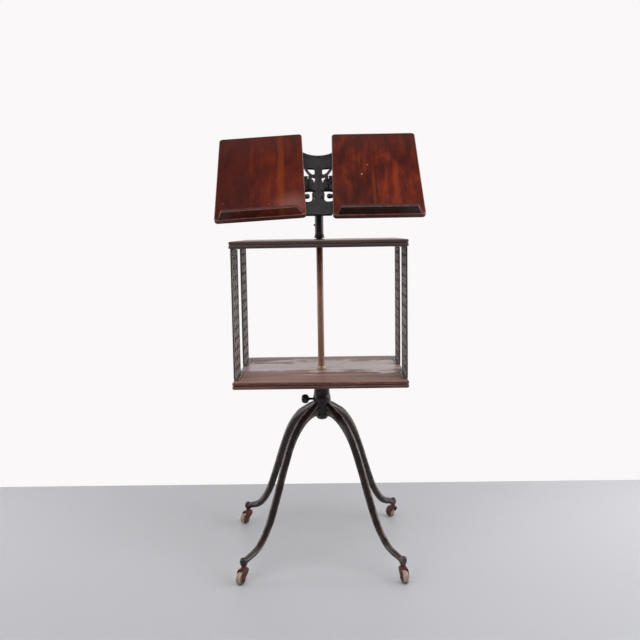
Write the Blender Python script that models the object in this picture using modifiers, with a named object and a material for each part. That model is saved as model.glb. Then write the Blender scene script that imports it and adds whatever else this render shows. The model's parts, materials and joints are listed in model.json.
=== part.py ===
"""Revolving bookstand on four cast iron legs with casters.

Two wooden shelves joined by pierced iron side panels turn on a round column. The column stands
in a hub that four S-curved legs hold, and carries a tilting pierced iron plate with two folding
wooden book boards. Metres, +Z up, the column on the Z axis, the reader on the -Y side.
"""
from math import cos, pi, radians, sin, sqrt

import bmesh
import bpy
from mathutils import Matrix, Vector

# Clearances
GAP = 0.0003            # between two pieces that rest or seat on each other
RUN = 0.0004            # round a shaft that turns or slides

# Column
ROD_R = 0.008
ROD_EDGE = 0.001
ROD_IN_SOCKET = 0.050   # how far the rod enters the head socket

# Casters
WHEEL_R = 0.0142
WHEEL_W = 0.0120
WHEEL_HUB_R = 0.0066
WHEEL_DISH = 0.0015     # how deep the face between hub and rim is turned down
AXLE_R = 0.0023
AXLE_HEAD_R = 0.0040
AXLE_HEAD_T = 0.0015
HORN_CHEEK = 0.0026
HORN_SIDE_PLAY = 0.0008
HORN_BRIDGE = 0.0040
HORN_TOP_PLAY = 0.0022
HORN_NECK_R = 0.0062
HORN_NECK_H = 0.0055
HORN_BACK = 0.0085      # half the length of the bridge behind the swivel axis
STEM_R = 0.0040
STEM_LEN = 0.0140
CASTER_TRAIL = 0.0130
CASTER_TURN = {"front_left": -28.0, "front_right": 12.0, "back_right": 214.0, "back_left": -42.0}

# Legs: stations of (share of the way out, share of the height, half depth, half width, flute depth)
LEG_STATIONS = (
    (0.000, 1.000, 0.0198, 0.0088, 0.04),
    (0.106, 0.980, 0.0158, 0.0096, 0.12),
    (0.230, 0.926, 0.0124, 0.0098, 0.20),
    (0.362, 0.783, 0.0100, 0.0092, 0.24),
    (0.477, 0.576, 0.0093, 0.0091, 0.24),
    (0.579, 0.380, 0.0092, 0.0091, 0.24),
    (0.693, 0.191, 0.0088, 0.0087, 0.24),
    (0.831, 0.060, 0.0079, 0.0078, 0.20),
    (1.000, 0.000, 0.0066, 0.0066, 0.12),
)
LEG_SUNK = 0.0035       # how far a leg starts inside the hub's face, before it is cut to fit
LEG_TO_FOOT = 0.0050    # how far short of the foot's axis it ends
LEG_STEPS = 2           # rings between two stations
LEG_SIDES = 12
LEG_ANGLES = {"front_left": 228.0, "front_right": 312.0, "back_right": 45.5, "back_left": 140.5}
FOOT_REACH = 0.277
FOOT_R = 0.0087
FOOT_H = 0.0185
TONGUE_BACK_HALF = 0.0060
TONGUE_NECK_HALF = 0.0045
TONGUE_IN = 0.0090      # how deep a tongue reaches into the hub
TONGUE_OUT = 0.0060     # how far it is rooted in the leg

# Hub
HUB_R = 0.0225
HUB_NECK_R = 0.0195
HUB_FOOT_Z = 0.3562
HUB_SHOULDER_Z = 0.3942
HUB_NECK_Z = 0.4102
CAP_R = 0.0155
CAP_H = 0.0187
CAP_FLOOR = 0.0060
SPIGOT_R = 0.0112
SPIGOT_H = 0.0070
THUMB_DOWN = 0.0050     # below the hub's shoulder
THUMB_SHANK_R = 0.0030
THUMB_HEAD_R = 0.0108
THUMB_HEAD_FROM = 0.0335
THUMB_HEAD_L = 0.0150
WASHER_R = 0.0190
WASHER_T = 0.0020

# Shelves
SHELF_W = 0.4070
SHELF_D = 0.3710
SHELF_T = 0.0160
SHELF_UNDER_Z = 0.4515
SHELF_CLEAR = 0.3074    # clear height between the two boards
SHELF_CORNER = 0.0060
SHELF_EDGE = 0.0025
GROOVE_R = 0.0016
BUSH_R = 0.0110
BUSH_FLANGE_R = 0.0128
LOW_FLANGE_H = 0.0040
TOP_FLANGE_H = 0.0014

# Side panels
PANEL_W = 0.1150
PANEL_T = 0.0030
PANEL_NEAR = 0.0400     # distance of a panel's inner end from the middle of the side
PANEL_INSET = 0.0030    # outer face in from the side of the boards
PANEL_FRAME = 0.0085
PANEL_COLUMNS = 3
PANEL_PITCH = 0.0236
PANEL_BAR = 0.0046
FLANGE_IN = 0.0120
FLANGE_T = 0.0025

# Head socket and fork
COLLAR_LIFT = 0.0040    # collar above the top board
SOCKET_R = 0.0105
SOCKET_FLARE_R = 0.0130
SOCKET_H = 0.0600
SOCKET_COLLAR_H = 0.0085
FORK_RISE = 0.0714      # tilt axis above the socket's top
FORK_HALF = 0.0103
FORK_CHEEK = 0.0050
FORK_EYE_R = 0.0095
FORK_BASE_HALF = 0.0100
FORK_SLOT_BELOW = 0.0200
BOLT_R = 0.0030
BOLT_HEAD_R = 0.0058
BOLT_HEAD_T = 0.0040
BOLT_TAIL = 0.0120
NUT_R = 0.0060
NUT_L = 0.0070
NUT_CLEAR = 0.0010      # wings clear of the plate behind them
NUT_WING_T = 0.0024
SET_SCREW_UP = 0.0320   # above the socket's foot
SET_SCREW_R = 0.0024
SET_SCREW_OUT = 0.0034

# Back plate, in the plane of the book boards: x sideways, s up the slope from the boards' middle
BOARD_PITCH = 40.0      # slope of the book boards above level, degrees
PIVOT_TO_BOARD = 0.0400
PIVOT_UP = 0.0100       # pivot above the boards' middle, along the slope
PLATE_FRONT = 0.0200    # below the boards' front plane
PLATE_T = 0.0060
PLATE_TOP = 0.1032
PLATE_BOTTOM = -0.1390
PLATE_TOP_ARC = 0.0570
PLATE_HORN_X = 0.0460
PLATE_HORN_R = 0.0065
PLATE_WAIST_X = 0.0400
PLATE_WAIST_S = 0.0600
STEM_HALF = 0.0083
WING_X = 0.0580
WING_TOP = 0.0030
WING_BOTTOM = -0.0440
RIM_X = 0.0460
RIM_S = -0.0700
SOLID_TOP = -0.0920
SOLID_HALF = 0.0420
FOOT_HALF = 0.0310
BALL_X = 0.0270
BALL_S = -0.0693
BALL_R = 0.0065
LUG_T = 0.0100
LUG_R = 0.0090

# Leaf hinges and arms
HINGE_X = 0.0200
HINGE_BELOW = 0.0150    # hinge axis below the boards' front plane
HINGE_S = -0.0180
HINGE_LEN = 0.0540
KNUCKLE_LEN = 0.0180
KNUCKLE_R = 0.0045
PIN_R = 0.0020
PIN_HEAD_R = 0.0034
PIN_HEAD_T = 0.0015
ARM_T = 0.0040
ARM_CLEAR = 0.0010      # arm clear of the plate's own knuckles
ARM_REACH = 0.1650
ARM_TIP_R = 0.0110
STOP_REACH = 0.0300
STOP_R = 0.0050
LEFT_DROP = 1.8         # how far the left leaf hangs back on its worn stop, degrees

# Book boards and ledges
BOARD_W = 0.2100
BOARD_H = 0.3360
BOARD_T = 0.0130
BOARD_GAP = 0.0700      # between the boards' inner edges
BOARD_CORNER = 0.0090
BOARD_EDGE = 0.0020
LEFT_SKEW = 2.8         # how far the left board is turned on its arm, degrees
LEDGE_BASE = 0.1930
LEDGE_TOP = 0.1740
LEDGE_H = 0.0210
LEDGE_T = 0.0090
LEDGE_UP = 0.0022       # above the board's lower edge

# Facets of round pieces
ROUND = 24
SMALL_ROUND = 16
PIN_ROUND = 12

FINISHES = {
    "black_japanned_iron": ("2b2a2c", 0.45, 0.6),
    "bronzed_steel": ("7c5f50", 0.38, 0.9),
    "brass": ("b08d4c", 0.35, 1.0),
    "rusty_iron": ("5c3a32", 0.7, 0.5),
    "turned_maple": ("b39c8a", 0.6, 0.0),
    "bookcase_walnut": ("5a443c", 0.6, 0.0),
    "board_mahogany": ("6a2c20", 0.3, 0.0),
    "bright_steel": ("8d8b88", 0.35, 1.0),
}


def clear_scene():
    for old in list(bpy.data.objects):
        bpy.data.objects.remove(old, do_unlink=True)


def make_collection(name):
    collection = bpy.data.collections.new(name)
    bpy.context.scene.collection.children.link(collection)
    return collection


def linear(channel):
    return channel / 12.92 if channel <= 0.04045 else ((channel + 0.055) / 1.055) ** 2.4


def make_finish(name):
    colour, roughness, metallic = FINISHES[name]
    finish = bpy.data.materials.new(name)
    finish.use_nodes = True
    shader = finish.node_tree.nodes["Principled BSDF"]
    rgb = [linear(int(colour[i:i + 2], 16) / 255) for i in (0, 2, 4)]
    shader.inputs["Base Color"].default_value = (*rgb, 1.0)
    shader.inputs["Roughness"].default_value = roughness
    shader.inputs["Metallic"].default_value = metallic
    finish.diffuse_color = (*rgb, 1.0)
    return finish


# Meshes

def shaded(mesh):
    mesh.shade_smooth()
    mesh.set_sharp_from_angle(angle=radians(35))
    return mesh


def mesh_from(bm, name):
    mesh = bpy.data.meshes.new(name)
    bm.to_mesh(mesh)
    bm.free()
    return mesh


def box(low, high):
    """A box from its lowest to its highest corner."""
    bm = bmesh.new()
    size = Vector(high) - Vector(low)
    middle = (Vector(high) + Vector(low)) / 2
    matrix = Matrix.Translation(middle) @ Matrix.Diagonal((*size, 1.0))
    bmesh.ops.create_cube(bm, size=1.0, matrix=matrix)
    return mesh_from(bm, "box")


def cylinder(radius, start, end, axis="Z", sides=SMALL_ROUND, centre=(0.0, 0.0)):
    """A cylinder along an axis, from start to end, round the other two axes' centre."""
    bm = bmesh.new()
    turn = {"X": Matrix.Rotation(radians(90), 4, "Y") @ Matrix.Rotation(radians(90), 4, "Z"),
            "Y": Matrix.Rotation(radians(-90), 4, "X"),
            "Z": Matrix.Identity(4)}[axis]
    middle = (start + end) / 2
    place = {"X": (middle, *centre), "Y": (centre[0], middle, centre[1]), "Z": (*centre, middle)}[axis]
    bmesh.ops.create_cone(bm, cap_ends=True, segments=sides, radius1=radius, radius2=radius,
                          depth=end - start, matrix=Matrix.Translation(place) @ turn)
    return shaded(mesh_from(bm, "cylinder"))


def profile(points, closed=False):
    """An outline of (radius, height), down the outer side, for a Screw modifier."""
    mesh = bpy.data.meshes.new("profile")
    edges = [(i, i + 1) for i in range(len(points) - 1)]
    if closed:
        edges.append((len(points) - 1, 0))
    mesh.from_pydata([(r, 0.0, z) for r, z in points], edges, [])
    return mesh


def arc(centre, radius, start, end, steps):
    """Points of an arc in a plane, angles in degrees."""
    angles = [radians(start + (end - start) * i / steps) for i in range(steps + 1)]
    return [(centre[0] + radius * cos(a), centre[1] + radius * sin(a)) for a in angles]


def bend(start, pull, end, steps):
    """Points of a quadratic curve from start to end, drawn towards pull."""
    points = []
    for i in range(steps + 1):
        t = i / steps
        points.append(tuple((1 - t) ** 2 * a + 2 * t * (1 - t) * b + t * t * c
                            for a, b, c in zip(start, pull, end)))
    return points


def mirrored(points):
    return [(-x, y) for x, y in points]


def curve_mesh(curve):
    """The welded mesh of a curve, which is removed."""
    holder = bpy.data.objects.new("curve", curve)
    bpy.context.scene.collection.objects.link(holder)
    bpy.context.view_layer.update()
    evaluated = holder.evaluated_get(bpy.context.evaluated_depsgraph_get())
    mesh = bpy.data.meshes.new_from_object(evaluated)
    bm = bmesh.new()
    bm.from_mesh(mesh)
    bmesh.ops.remove_doubles(bm, verts=bm.verts, dist=0.00001)
    bm.to_mesh(mesh)
    bm.free()
    mesh.materials.clear()
    bpy.data.objects.remove(holder)
    bpy.data.curves.remove(curve)
    return mesh


def outline(loops, thickness, plane="XY"):
    """A flat plate from an outer loop and its openings, as thick as said, half to each side.

    In the plane YZ the loops' first number runs along Y and their second along Z.
    """
    curve = bpy.data.curves.new("outline", "CURVE")
    curve.dimensions = "2D"
    curve.fill_mode = "BOTH"
    curve.extrude = thickness / 2
    for loop in loops:
        spline = curve.splines.new("POLY")
        spline.points.add(len(loop) - 1)
        for point, (x, y) in zip(spline.points, loop):
            point.co = (x, y, 0.0, 1.0)
        spline.use_cyclic_u = True
    mesh = curve_mesh(curve)
    if plane == "YZ":
        mesh.transform(Matrix.Rotation(radians(90), 4, "Z") @ Matrix.Rotation(radians(90), 4, "X"))
    return mesh


def rounded_rectangle(width, depth, corner, steps=4):
    points = []
    for quarter, (sx, sy) in enumerate(((1, 1), (-1, 1), (-1, -1), (1, -1))):
        centre = (sx * (width / 2 - corner), sy * (depth / 2 - corner))
        points += arc(centre, corner, 90 * quarter, 90 * quarter + 90, steps)
    return points


def edge_groove(width, depth, corner, radius):
    """A round cutter that runs once round the edge of a board."""
    curve = bpy.data.curves.new("groove", "CURVE")
    curve.dimensions = "3D"
    curve.bevel_depth = radius
    curve.bevel_resolution = 1
    points = rounded_rectangle(width, depth, corner)
    spline = curve.splines.new("POLY")
    spline.points.add(len(points) - 1)
    for point, (x, y) in zip(spline.points, points):
        point.co = (x, y, 0.0, 1.0)
    spline.use_cyclic_u = True
    return curve_mesh(curve)


def slab(width, depth, thickness, corner):
    """A board with its four corners rounded, its middle at the origin."""
    bm = bmesh.new()
    bmesh.ops.create_cube(bm, size=1.0, matrix=Matrix.Diagonal((width, depth, thickness, 1.0)))
    upright = [e for e in bm.edges if abs(e.verts[0].co.z - e.verts[1].co.z) > thickness / 2]
    bmesh.ops.bevel(bm, geom=upright, offset=corner, segments=4, profile=0.5, affect="EDGES")
    return shaded(mesh_from(bm, "slab"))


def loft(rings):
    """A closed skin over rings of points, capped at both ends."""
    bm = bmesh.new()
    rows = [[bm.verts.new(point) for point in ring] for ring in rings]
    count = len(rows[0])
    for row, after in zip(rows, rows[1:]):
        for i in range(count):
            j = (i + 1) % count
            bm.faces.new((row[i], row[j], after[j], after[i]))
    bm.faces.new(list(reversed(rows[0])))
    bm.faces.new(rows[-1])
    bmesh.ops.triangulate(bm, faces=[face for face in bm.faces if len(face.verts) == 4])
    bmesh.ops.recalc_face_normals(bm, faces=bm.faces)
    return shaded(mesh_from(bm, "loft"))


# Objects

def add_object(name, mesh, collection, parent, location, rotation):
    thing = bpy.data.objects.new(name, mesh)
    thing.location = location
    thing.rotation_euler = [radians(a) for a in rotation]
    thing.parent = parent
    collection.objects.link(thing)
    return thing


def piece(name, mesh, finish, parent=None, location=(0, 0, 0), rotation=(0, 0, 0)):
    """One sub-part, with its own finish."""
    mesh.materials.append(bpy.data.materials[finish])
    return add_object(name, mesh, bpy.data.collections["bookstand"], parent, location, rotation)


def axis_empty(name, parent, location, rotation=(0, 0, 0)):
    """An empty on a joint's axis, which carries the pieces that move with it."""
    return add_object(name, None, bpy.data.collections["bookstand"], parent, location, rotation)


def spin(thing, steps=ROUND):
    """Turn a profile round Z."""
    screw = thing.modifiers.new("Turned", "SCREW")
    screw.steps = steps
    screw.render_steps = steps
    screw.use_merge_vertices = True
    screw.merge_threshold = 0.00001
    screw.use_smooth_shade = True


def round_edges(thing, width, segments=2):
    bevel = thing.modifiers.new("Rounded edges", "BEVEL")
    bevel.width = width
    bevel.segments = segments
    bevel.limit_method = "ANGLE"
    bevel.angle_limit = radians(50)


def combine(thing, mesh, operation, location=(0, 0, 0), rotation=(0, 0, 0), steps=None):
    """Join a mesh to a piece, or cut it out, in the frame that carries the piece."""
    tool = add_object(thing.name + "_tool", mesh, bpy.data.collections["cutters"],
                      thing.parent, location, rotation)
    if steps:
        spin(tool, steps)
    tool.hide_render = True
    tool.display_type = "WIRE"
    boolean = thing.modifiers.new(operation.title(), "BOOLEAN")
    boolean.operation = operation
    boolean.solver = "EXACT"
    boolean.object = tool


def join(thing, mesh, location=(0, 0, 0), rotation=(0, 0, 0), steps=None):
    combine(thing, mesh, "UNION", location, rotation, steps)


def cut(thing, mesh, location=(0, 0, 0), rotation=(0, 0, 0), steps=None):
    combine(thing, mesh, "DIFFERENCE", location, rotation, steps)


def bore(radius, sides=ROUND):
    """Radius of a faceted hole whose flats clear a round shaft by the running gap."""
    return (radius + RUN) / cos(pi / sides)


# Heights that follow from the sizes
SHELF_TOP_Z = SHELF_UNDER_Z + SHELF_T
CROWN_UNDER_Z = SHELF_TOP_Z + SHELF_CLEAR
CROWN_TOP_Z = CROWN_UNDER_Z + SHELF_T
HUB_TOP_Z = SHELF_UNDER_Z - WASHER_T - 2 * GAP
CAP_TOP_Z = HUB_FOOT_Z - GAP
CAP_FOOT_Z = CAP_TOP_Z - CAP_H
SOCKET_FOOT_Z = CROWN_TOP_Z + COLLAR_LIFT
SOCKET_TOP_Z = SOCKET_FOOT_Z + SOCKET_H
PIVOT_Z = SOCKET_TOP_Z + FORK_RISE
SET_SCREW_Z = SOCKET_FOOT_Z + SET_SCREW_UP
THUMB_Z = HUB_SHOULDER_Z - THUMB_DOWN
ROD_TOP_Z = SOCKET_FOOT_Z + ROD_IN_SOCKET
ROD_FOOT_Z = CAP_FOOT_Z + CAP_FLOOR + GAP
HORN_TOP_Z = 2 * WHEEL_R + HORN_TOP_PLAY + HORN_BRIDGE
FOOT_Z = HORN_TOP_Z + HORN_NECK_H + GAP
HORN_HALF = WHEEL_W / 2 + HORN_SIDE_PLAY + HORN_CHEEK


# Hub, cap, thumbscrew and column

def make_hub():
    hole = bore(ROD_R)
    hub = piece("hub", profile([
        (HUB_NECK_R, HUB_TOP_Z),
        (HUB_NECK_R, HUB_NECK_Z),
        (HUB_NECK_R + 0.3 * (HUB_R - HUB_NECK_R), (HUB_NECK_Z + HUB_SHOULDER_Z) / 2),
        (HUB_R, HUB_SHOULDER_Z),
        (HUB_R, HUB_FOOT_Z),
        (SPIGOT_R + GAP, HUB_FOOT_Z),
        (SPIGOT_R + GAP, HUB_FOOT_Z + SPIGOT_H),
        (hole, HUB_FOOT_Z + SPIGOT_H),
        (hole, HUB_TOP_Z),
    ], closed=True), "black_japanned_iron")
    spin(hub)
    slot = tongue_outline(HUB_R - TONGUE_IN - GAP, HUB_R + GAP, GAP)
    height = HUB_SHOULDER_Z - HUB_FOOT_Z
    for angle in LEG_ANGLES.values():
        cut(hub, outline([slot], 2 * height), (0, 0, HUB_SHOULDER_Z - height), (0, 0, angle))
    cut(hub, cylinder(THUMB_SHANK_R + GAP, -HUB_R - GAP, -hole / 2, "X", centre=(0, THUMB_Z)))


def make_hub_cap():
    hole = bore(ROD_R)
    cap = piece("hub_cap", profile([
        (0.0, CAP_FOOT_Z + CAP_FLOOR),
        (hole, CAP_FOOT_Z + CAP_FLOOR),
        (hole, CAP_TOP_Z + SPIGOT_H),
        (SPIGOT_R, CAP_TOP_Z + SPIGOT_H),
        (SPIGOT_R, CAP_TOP_Z),
        (CAP_R, CAP_TOP_Z),
        (CAP_R, CAP_TOP_Z - 0.45 * CAP_H),
        (0.94 * CAP_R, CAP_TOP_Z - 0.70 * CAP_H),
        (0.80 * CAP_R, CAP_TOP_Z - 0.90 * CAP_H),
        (0.62 * CAP_R, CAP_FOOT_Z),
        (0.0, CAP_FOOT_Z),
    ]), "black_japanned_iron")
    spin(cap)


def make_thumbscrew():
    start = THUMB_HEAD_FROM
    end = start + THUMB_HEAD_L
    screw = piece("hub_thumbscrew", profile([
        (0.0, end),
        (0.62 * THUMB_HEAD_R, end - 0.0006),
        (0.90 * THUMB_HEAD_R, end - 0.0030),
        (THUMB_HEAD_R, end - 0.0055),
        (THUMB_HEAD_R, start + 0.0060),
        (0.88 * THUMB_HEAD_R, start + 0.0030),
        (0.50 * THUMB_HEAD_R, start + 0.0004),
        (THUMB_SHANK_R, start - 0.0030),
        (THUMB_SHANK_R, ROD_R + GAP + 0.0010),
        (THUMB_SHANK_R - 0.0010, ROD_R + GAP),
        (0.0, ROD_R + GAP),
    ]), "black_japanned_iron", location=(0, 0, THUMB_Z), rotation=(0, -90, 0))
    spin(screw, SMALL_ROUND)


def make_column():
    rod = piece("column_rod", profile([
        (0.0, ROD_TOP_Z),
        (ROD_R - ROD_EDGE, ROD_TOP_Z),
        (ROD_R, ROD_TOP_Z - ROD_EDGE),
        (ROD_R, ROD_FOOT_Z + ROD_EDGE),
        (ROD_R - ROD_EDGE, ROD_FOOT_Z),
        (0.0, ROD_FOOT_Z),
    ]), "bronzed_steel")
    spin(rod)


# Legs

def tongue_outline(inner, outer, extra):
    """Dovetail section of a leg's tongue: wide at the back, narrow at the hub's face."""
    slope = (TONGUE_BACK_HALF - TONGUE_NECK_HALF) / TONGUE_IN
    back = HUB_R - TONGUE_IN
    wide = TONGUE_BACK_HALF + slope * (back - inner) + extra
    narrow = TONGUE_BACK_HALF + slope * (back - outer) + extra
    return [(inner, -wide), (outer, -narrow), (outer, narrow), (inner, wide)]


def smooth_stations(stations, steps):
    """Catmull-Rom points through the stations, with the given steps between two of them."""
    ends = [tuple(2 * a - b for a, b in zip(stations[0], stations[1]))]
    ends += list(stations)
    ends.append(tuple(2 * a - b for a, b in zip(stations[-1], stations[-2])))
    points = []
    for p0, p1, p2, p3 in zip(ends, ends[1:], ends[2:], ends[3:]):
        for i in range(steps):
            t = i / steps
            points.append(tuple(
                0.5 * (2 * b + (c - a) * t + (2 * a - 5 * b + 4 * c - d) * t ** 2
                       + (3 * b - a - 3 * c + d) * t ** 3)
                for a, b, c, d in zip(p0, p1, p2, p3)))
    points.append(tuple(stations[-1]))
    return points


def leg_rings():
    """Four-ridged sections square to the leg's S-curve, which lies in the XZ plane."""
    inner = HUB_R - LEG_SUNK
    outer = FOOT_REACH - LEG_TO_FOOT
    low = FOOT_Z + 0.55 * FOOT_H
    high = (HUB_FOOT_Z + HUB_SHOULDER_Z) / 2 - 0.001
    stations = [(inner + out * (outer - inner), low + up * (high - low), deep, wide, flute)
                for out, up, deep, wide, flute in LEG_STATIONS]
    path = smooth_stations(stations, LEG_STEPS)
    rings = []
    for i, (reach, height, deep, wide, flute) in enumerate(path):
        before = path[max(i - 1, 0)]
        after = path[min(i + 1, len(path) - 1)]
        along = Vector((after[0] - before[0], after[1] - before[1])).normalized()
        if i == 0:
            along = Vector((1.0, 0.0))
        ring = []
        for k in range(LEG_SIDES):
            a = 2 * pi * k / LEG_SIDES
            hollow = 1 - flute * (1 - cos(4 * a)) / 2
            up = deep * hollow * cos(a)
            ring.append((reach - along.y * up, wide * hollow * sin(a), height + along.x * up))
        rings.append(ring)
    return rings


def make_leg(corner, angle):
    turn = (0, 0, angle)
    leg = piece("leg_" + corner, loft(leg_rings()), "black_japanned_iron", rotation=turn)
    low = HUB_FOOT_Z + GAP
    high = HUB_SHOULDER_Z - GAP
    half_facet = 180 / ROUND
    cut(leg, cylinder(HUB_R + GAP, low - 0.02, high + 0.02, sides=ROUND),
        rotation=(0, 0, angle + half_facet))
    tongue = tongue_outline(HUB_R - TONGUE_IN, HUB_R + TONGUE_OUT, 0.0)
    join(leg, outline([tongue], high - low), (0, 0, (high + low) / 2), turn)
    reach = Matrix.Rotation(radians(angle), 4, "Z") @ Vector((FOOT_REACH, 0, 0))
    join(leg, profile([
        (0.0, FOOT_Z + FOOT_H),
        (0.5 * FOOT_R, FOOT_Z + 0.96 * FOOT_H),
        (0.87 * FOOT_R, FOOT_Z + 0.88 * FOOT_H),
        (FOOT_R, FOOT_Z + 0.75 * FOOT_H),
        (FOOT_R, FOOT_Z + 0.10 * FOOT_H),
        (0.90 * FOOT_R, FOOT_Z),
        (0.0, FOOT_Z),
    ]), reach, turn, SMALL_ROUND)
    cut(leg, cylinder(bore(STEM_R, SMALL_ROUND), FOOT_Z - 0.005, FOOT_Z + STEM_LEN + GAP), reach, turn)
    return reach


# Casters

def horn_side():
    """Side view of the horn: a flat top over the swivel axis, drawn down to the axle's eye."""
    eye = 2.1 * AXLE_R
    nose = arc((-CASTER_TRAIL, WHEEL_R), eye, 170, 370, 8)
    front = bend((-CASTER_TRAIL + eye, WHEEL_R + 0.2 * eye), (HORN_BACK - 0.002, WHEEL_R + 0.006),
                 (HORN_BACK, HORN_TOP_Z - HORN_BRIDGE), 4)
    return nose + front[1:] + [(HORN_BACK, HORN_TOP_Z), (-HORN_BACK - 0.002, HORN_TOP_Z),
                               (-HORN_BACK - 0.006, HORN_TOP_Z - HORN_BRIDGE)]


def make_caster(corner, foot):
    """Forked horn on a stem, trailing wheel and axle. The horn trails towards its own -Y."""
    swivel = axis_empty("swivel_" + corner, None, foot, (0, 0, CASTER_TURN[corner]))
    horn = piece("horn_" + corner, outline([horn_side()], 2 * HORN_HALF, "YZ"), "rusty_iron", swivel)
    slot = HORN_HALF - HORN_CHEEK
    cut(horn, box((-slot, -0.05, -0.01), (slot, 0.05, HORN_TOP_Z - HORN_BRIDGE)))
    join(horn, cylinder(HORN_NECK_R, HORN_TOP_Z - 0.001, HORN_TOP_Z + HORN_NECK_H))
    join(horn, cylinder(STEM_R, HORN_TOP_Z, FOOT_Z + STEM_LEN))
    axle_hole = bore(AXLE_R, SMALL_ROUND)
    cut(horn, cylinder(axle_hole, -0.02, 0.02, "X", centre=(-CASTER_TRAIL, WHEEL_R)))

    spindle = axis_empty("spindle_" + corner, swivel, (0, -CASTER_TRAIL, WHEEL_R))
    half = WHEEL_W / 2
    wheel = piece("wheel_" + corner, profile([
        (axle_hole, half),
        (WHEEL_HUB_R, half),
        (WHEEL_HUB_R + 0.001, half - WHEEL_DISH),
        (0.80 * WHEEL_R, half - WHEEL_DISH),
        (0.90 * WHEEL_R, half),
        (WHEEL_R, half - 0.0022),
        (WHEEL_R, -half + 0.0022),
        (0.90 * WHEEL_R, -half),
        (0.80 * WHEEL_R, -half + WHEEL_DISH),
        (WHEEL_HUB_R + 0.001, -half + WHEEL_DISH),
        (WHEEL_HUB_R, -half),
        (axle_hole, -half),
    ], closed=True), "turned_maple", spindle, rotation=(0, 90, 0))
    spin(wheel, SMALL_ROUND + 4)
    outside = HORN_HALF + GAP
    axle = piece("axle_" + corner, profile([
        (0.0, outside + AXLE_HEAD_T),
        (0.7 * AXLE_HEAD_R, outside + 0.8 * AXLE_HEAD_T),
        (AXLE_HEAD_R, outside),
        (AXLE_R, outside),
        (AXLE_R, -outside),
        (AXLE_HEAD_R, -outside),
        (0.7 * AXLE_HEAD_R, -outside - 0.8 * AXLE_HEAD_T),
        (0.0, -outside - AXLE_HEAD_T),
    ]), "rusty_iron", spindle, rotation=(0, 90, 0))
    spin(axle, PIN_ROUND)


# Shelves, bushes and side panels

def make_shelf_board(name, under):
    board = piece(name, slab(SHELF_W, SHELF_D, SHELF_T, SHELF_CORNER), "bookcase_walnut",
                  location=(0, 0, under + SHELF_T / 2))
    round_edges(board, SHELF_EDGE)
    middle = (0, 0, under + 0.53 * SHELF_T)
    cut(board, edge_groove(SHELF_W, SHELF_D, SHELF_CORNER, GROOVE_R), middle)
    cut(board, cylinder(BUSH_R + GAP, -SHELF_T, SHELF_T, sides=ROUND), (0, 0, under + SHELF_T / 2))


def make_bush(name, under, flange_height):
    """A flanged sleeve let into a board from above."""
    top = under + SHELF_T + GAP
    bush = piece(name, profile([
        (BUSH_FLANGE_R - 0.0005, top + flange_height),
        (BUSH_FLANGE_R, top + 0.7 * flange_height),
        (BUSH_FLANGE_R, top),
        (BUSH_R, top),
        (BUSH_R, under + GAP),
        (bore(ROD_R), under + GAP),
        (bore(ROD_R), top + flange_height),
    ], closed=True), "brass")
    spin(bush)


def make_washer():
    low = HUB_TOP_Z + GAP
    washer = piece("bearing_washer", profile([
        (WASHER_R, low + WASHER_T),
        (WASHER_R, low),
        (bore(ROD_R), low),
        (bore(ROD_R), low + WASHER_T),
    ], closed=True), "brass")
    spin(washer)


def panel_loops(width, height):
    """An upright frame filled with rows of lozenge openings between crossing bars."""
    loops = [[(-width / 2, -height / 2), (width / 2, -height / 2),
              (width / 2, height / 2), (-width / 2, height / 2)]]
    inner_w = width - 2 * PANEL_FRAME
    inner_h = height - 2 * PANEL_FRAME
    rows = round(inner_h / PANEL_PITCH)
    cell_w = inner_w / PANEL_COLUMNS
    cell_h = inner_h / rows
    half_w = (cell_w - PANEL_BAR) / 2
    half_h = (cell_h - PANEL_BAR) / 2
    for row in range(rows):
        for column in range(PANEL_COLUMNS):
            x = (column + 0.5) * cell_w - inner_w / 2
            y = (row + 0.5) * cell_h - inner_h / 2
            loops.append([(x + half_w, y), (x, y + half_h), (x - half_w, y), (x, y - half_h)])
    return loops


def make_side_panel(name, side, end):
    """A pierced panel between the boards, with a turned-in flange above and below."""
    low = SHELF_TOP_Z + GAP
    high = CROWN_UNDER_Z - GAP
    height = high - low
    x = side * (SHELF_W / 2 - PANEL_INSET - PANEL_T / 2)
    y = end * (PANEL_NEAR + PANEL_W / 2)
    z = (low + high) / 2
    panel = piece(name, outline(panel_loops(PANEL_W, height), PANEL_T, "YZ"),
                  "black_japanned_iron", location=(x, y, z))
    inward = -side * (PANEL_T / 2 + FLANGE_IN)
    for edge in (-1, 1):
        outer = edge * height / 2
        inner = outer - edge * FLANGE_T
        flange = box((min(0.0, inward), -PANEL_W / 2, min(outer, inner)),
                     (max(0.0, inward), PANEL_W / 2, max(outer, inner)))
        join(panel, flange, (x, y, z))


# Head: socket with fork, its screws, and the tilting plate

def fork_side():
    """Side view of the fork, from the socket's top to the round eye on the tilt axis."""
    base = SOCKET_TOP_Z - 0.004
    waist = 0.72 * FORK_BASE_HALF
    rise = PIVOT_Z - base
    return ([(-FORK_BASE_HALF, base), (FORK_BASE_HALF, base)]
            + bend((FORK_BASE_HALF, base + 0.08 * rise), (waist, base + 0.35 * rise),
                   (FORK_EYE_R * 0.86, PIVOT_Z - 0.5 * FORK_EYE_R), 4)
            + arc((0.0, PIVOT_Z), FORK_EYE_R, 0, 180, 10)
            + bend((-FORK_EYE_R * 0.86, PIVOT_Z - 0.5 * FORK_EYE_R), (-waist, base + 0.35 * rise),
                   (-FORK_BASE_HALF, base + 0.08 * rise), 4))


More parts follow.
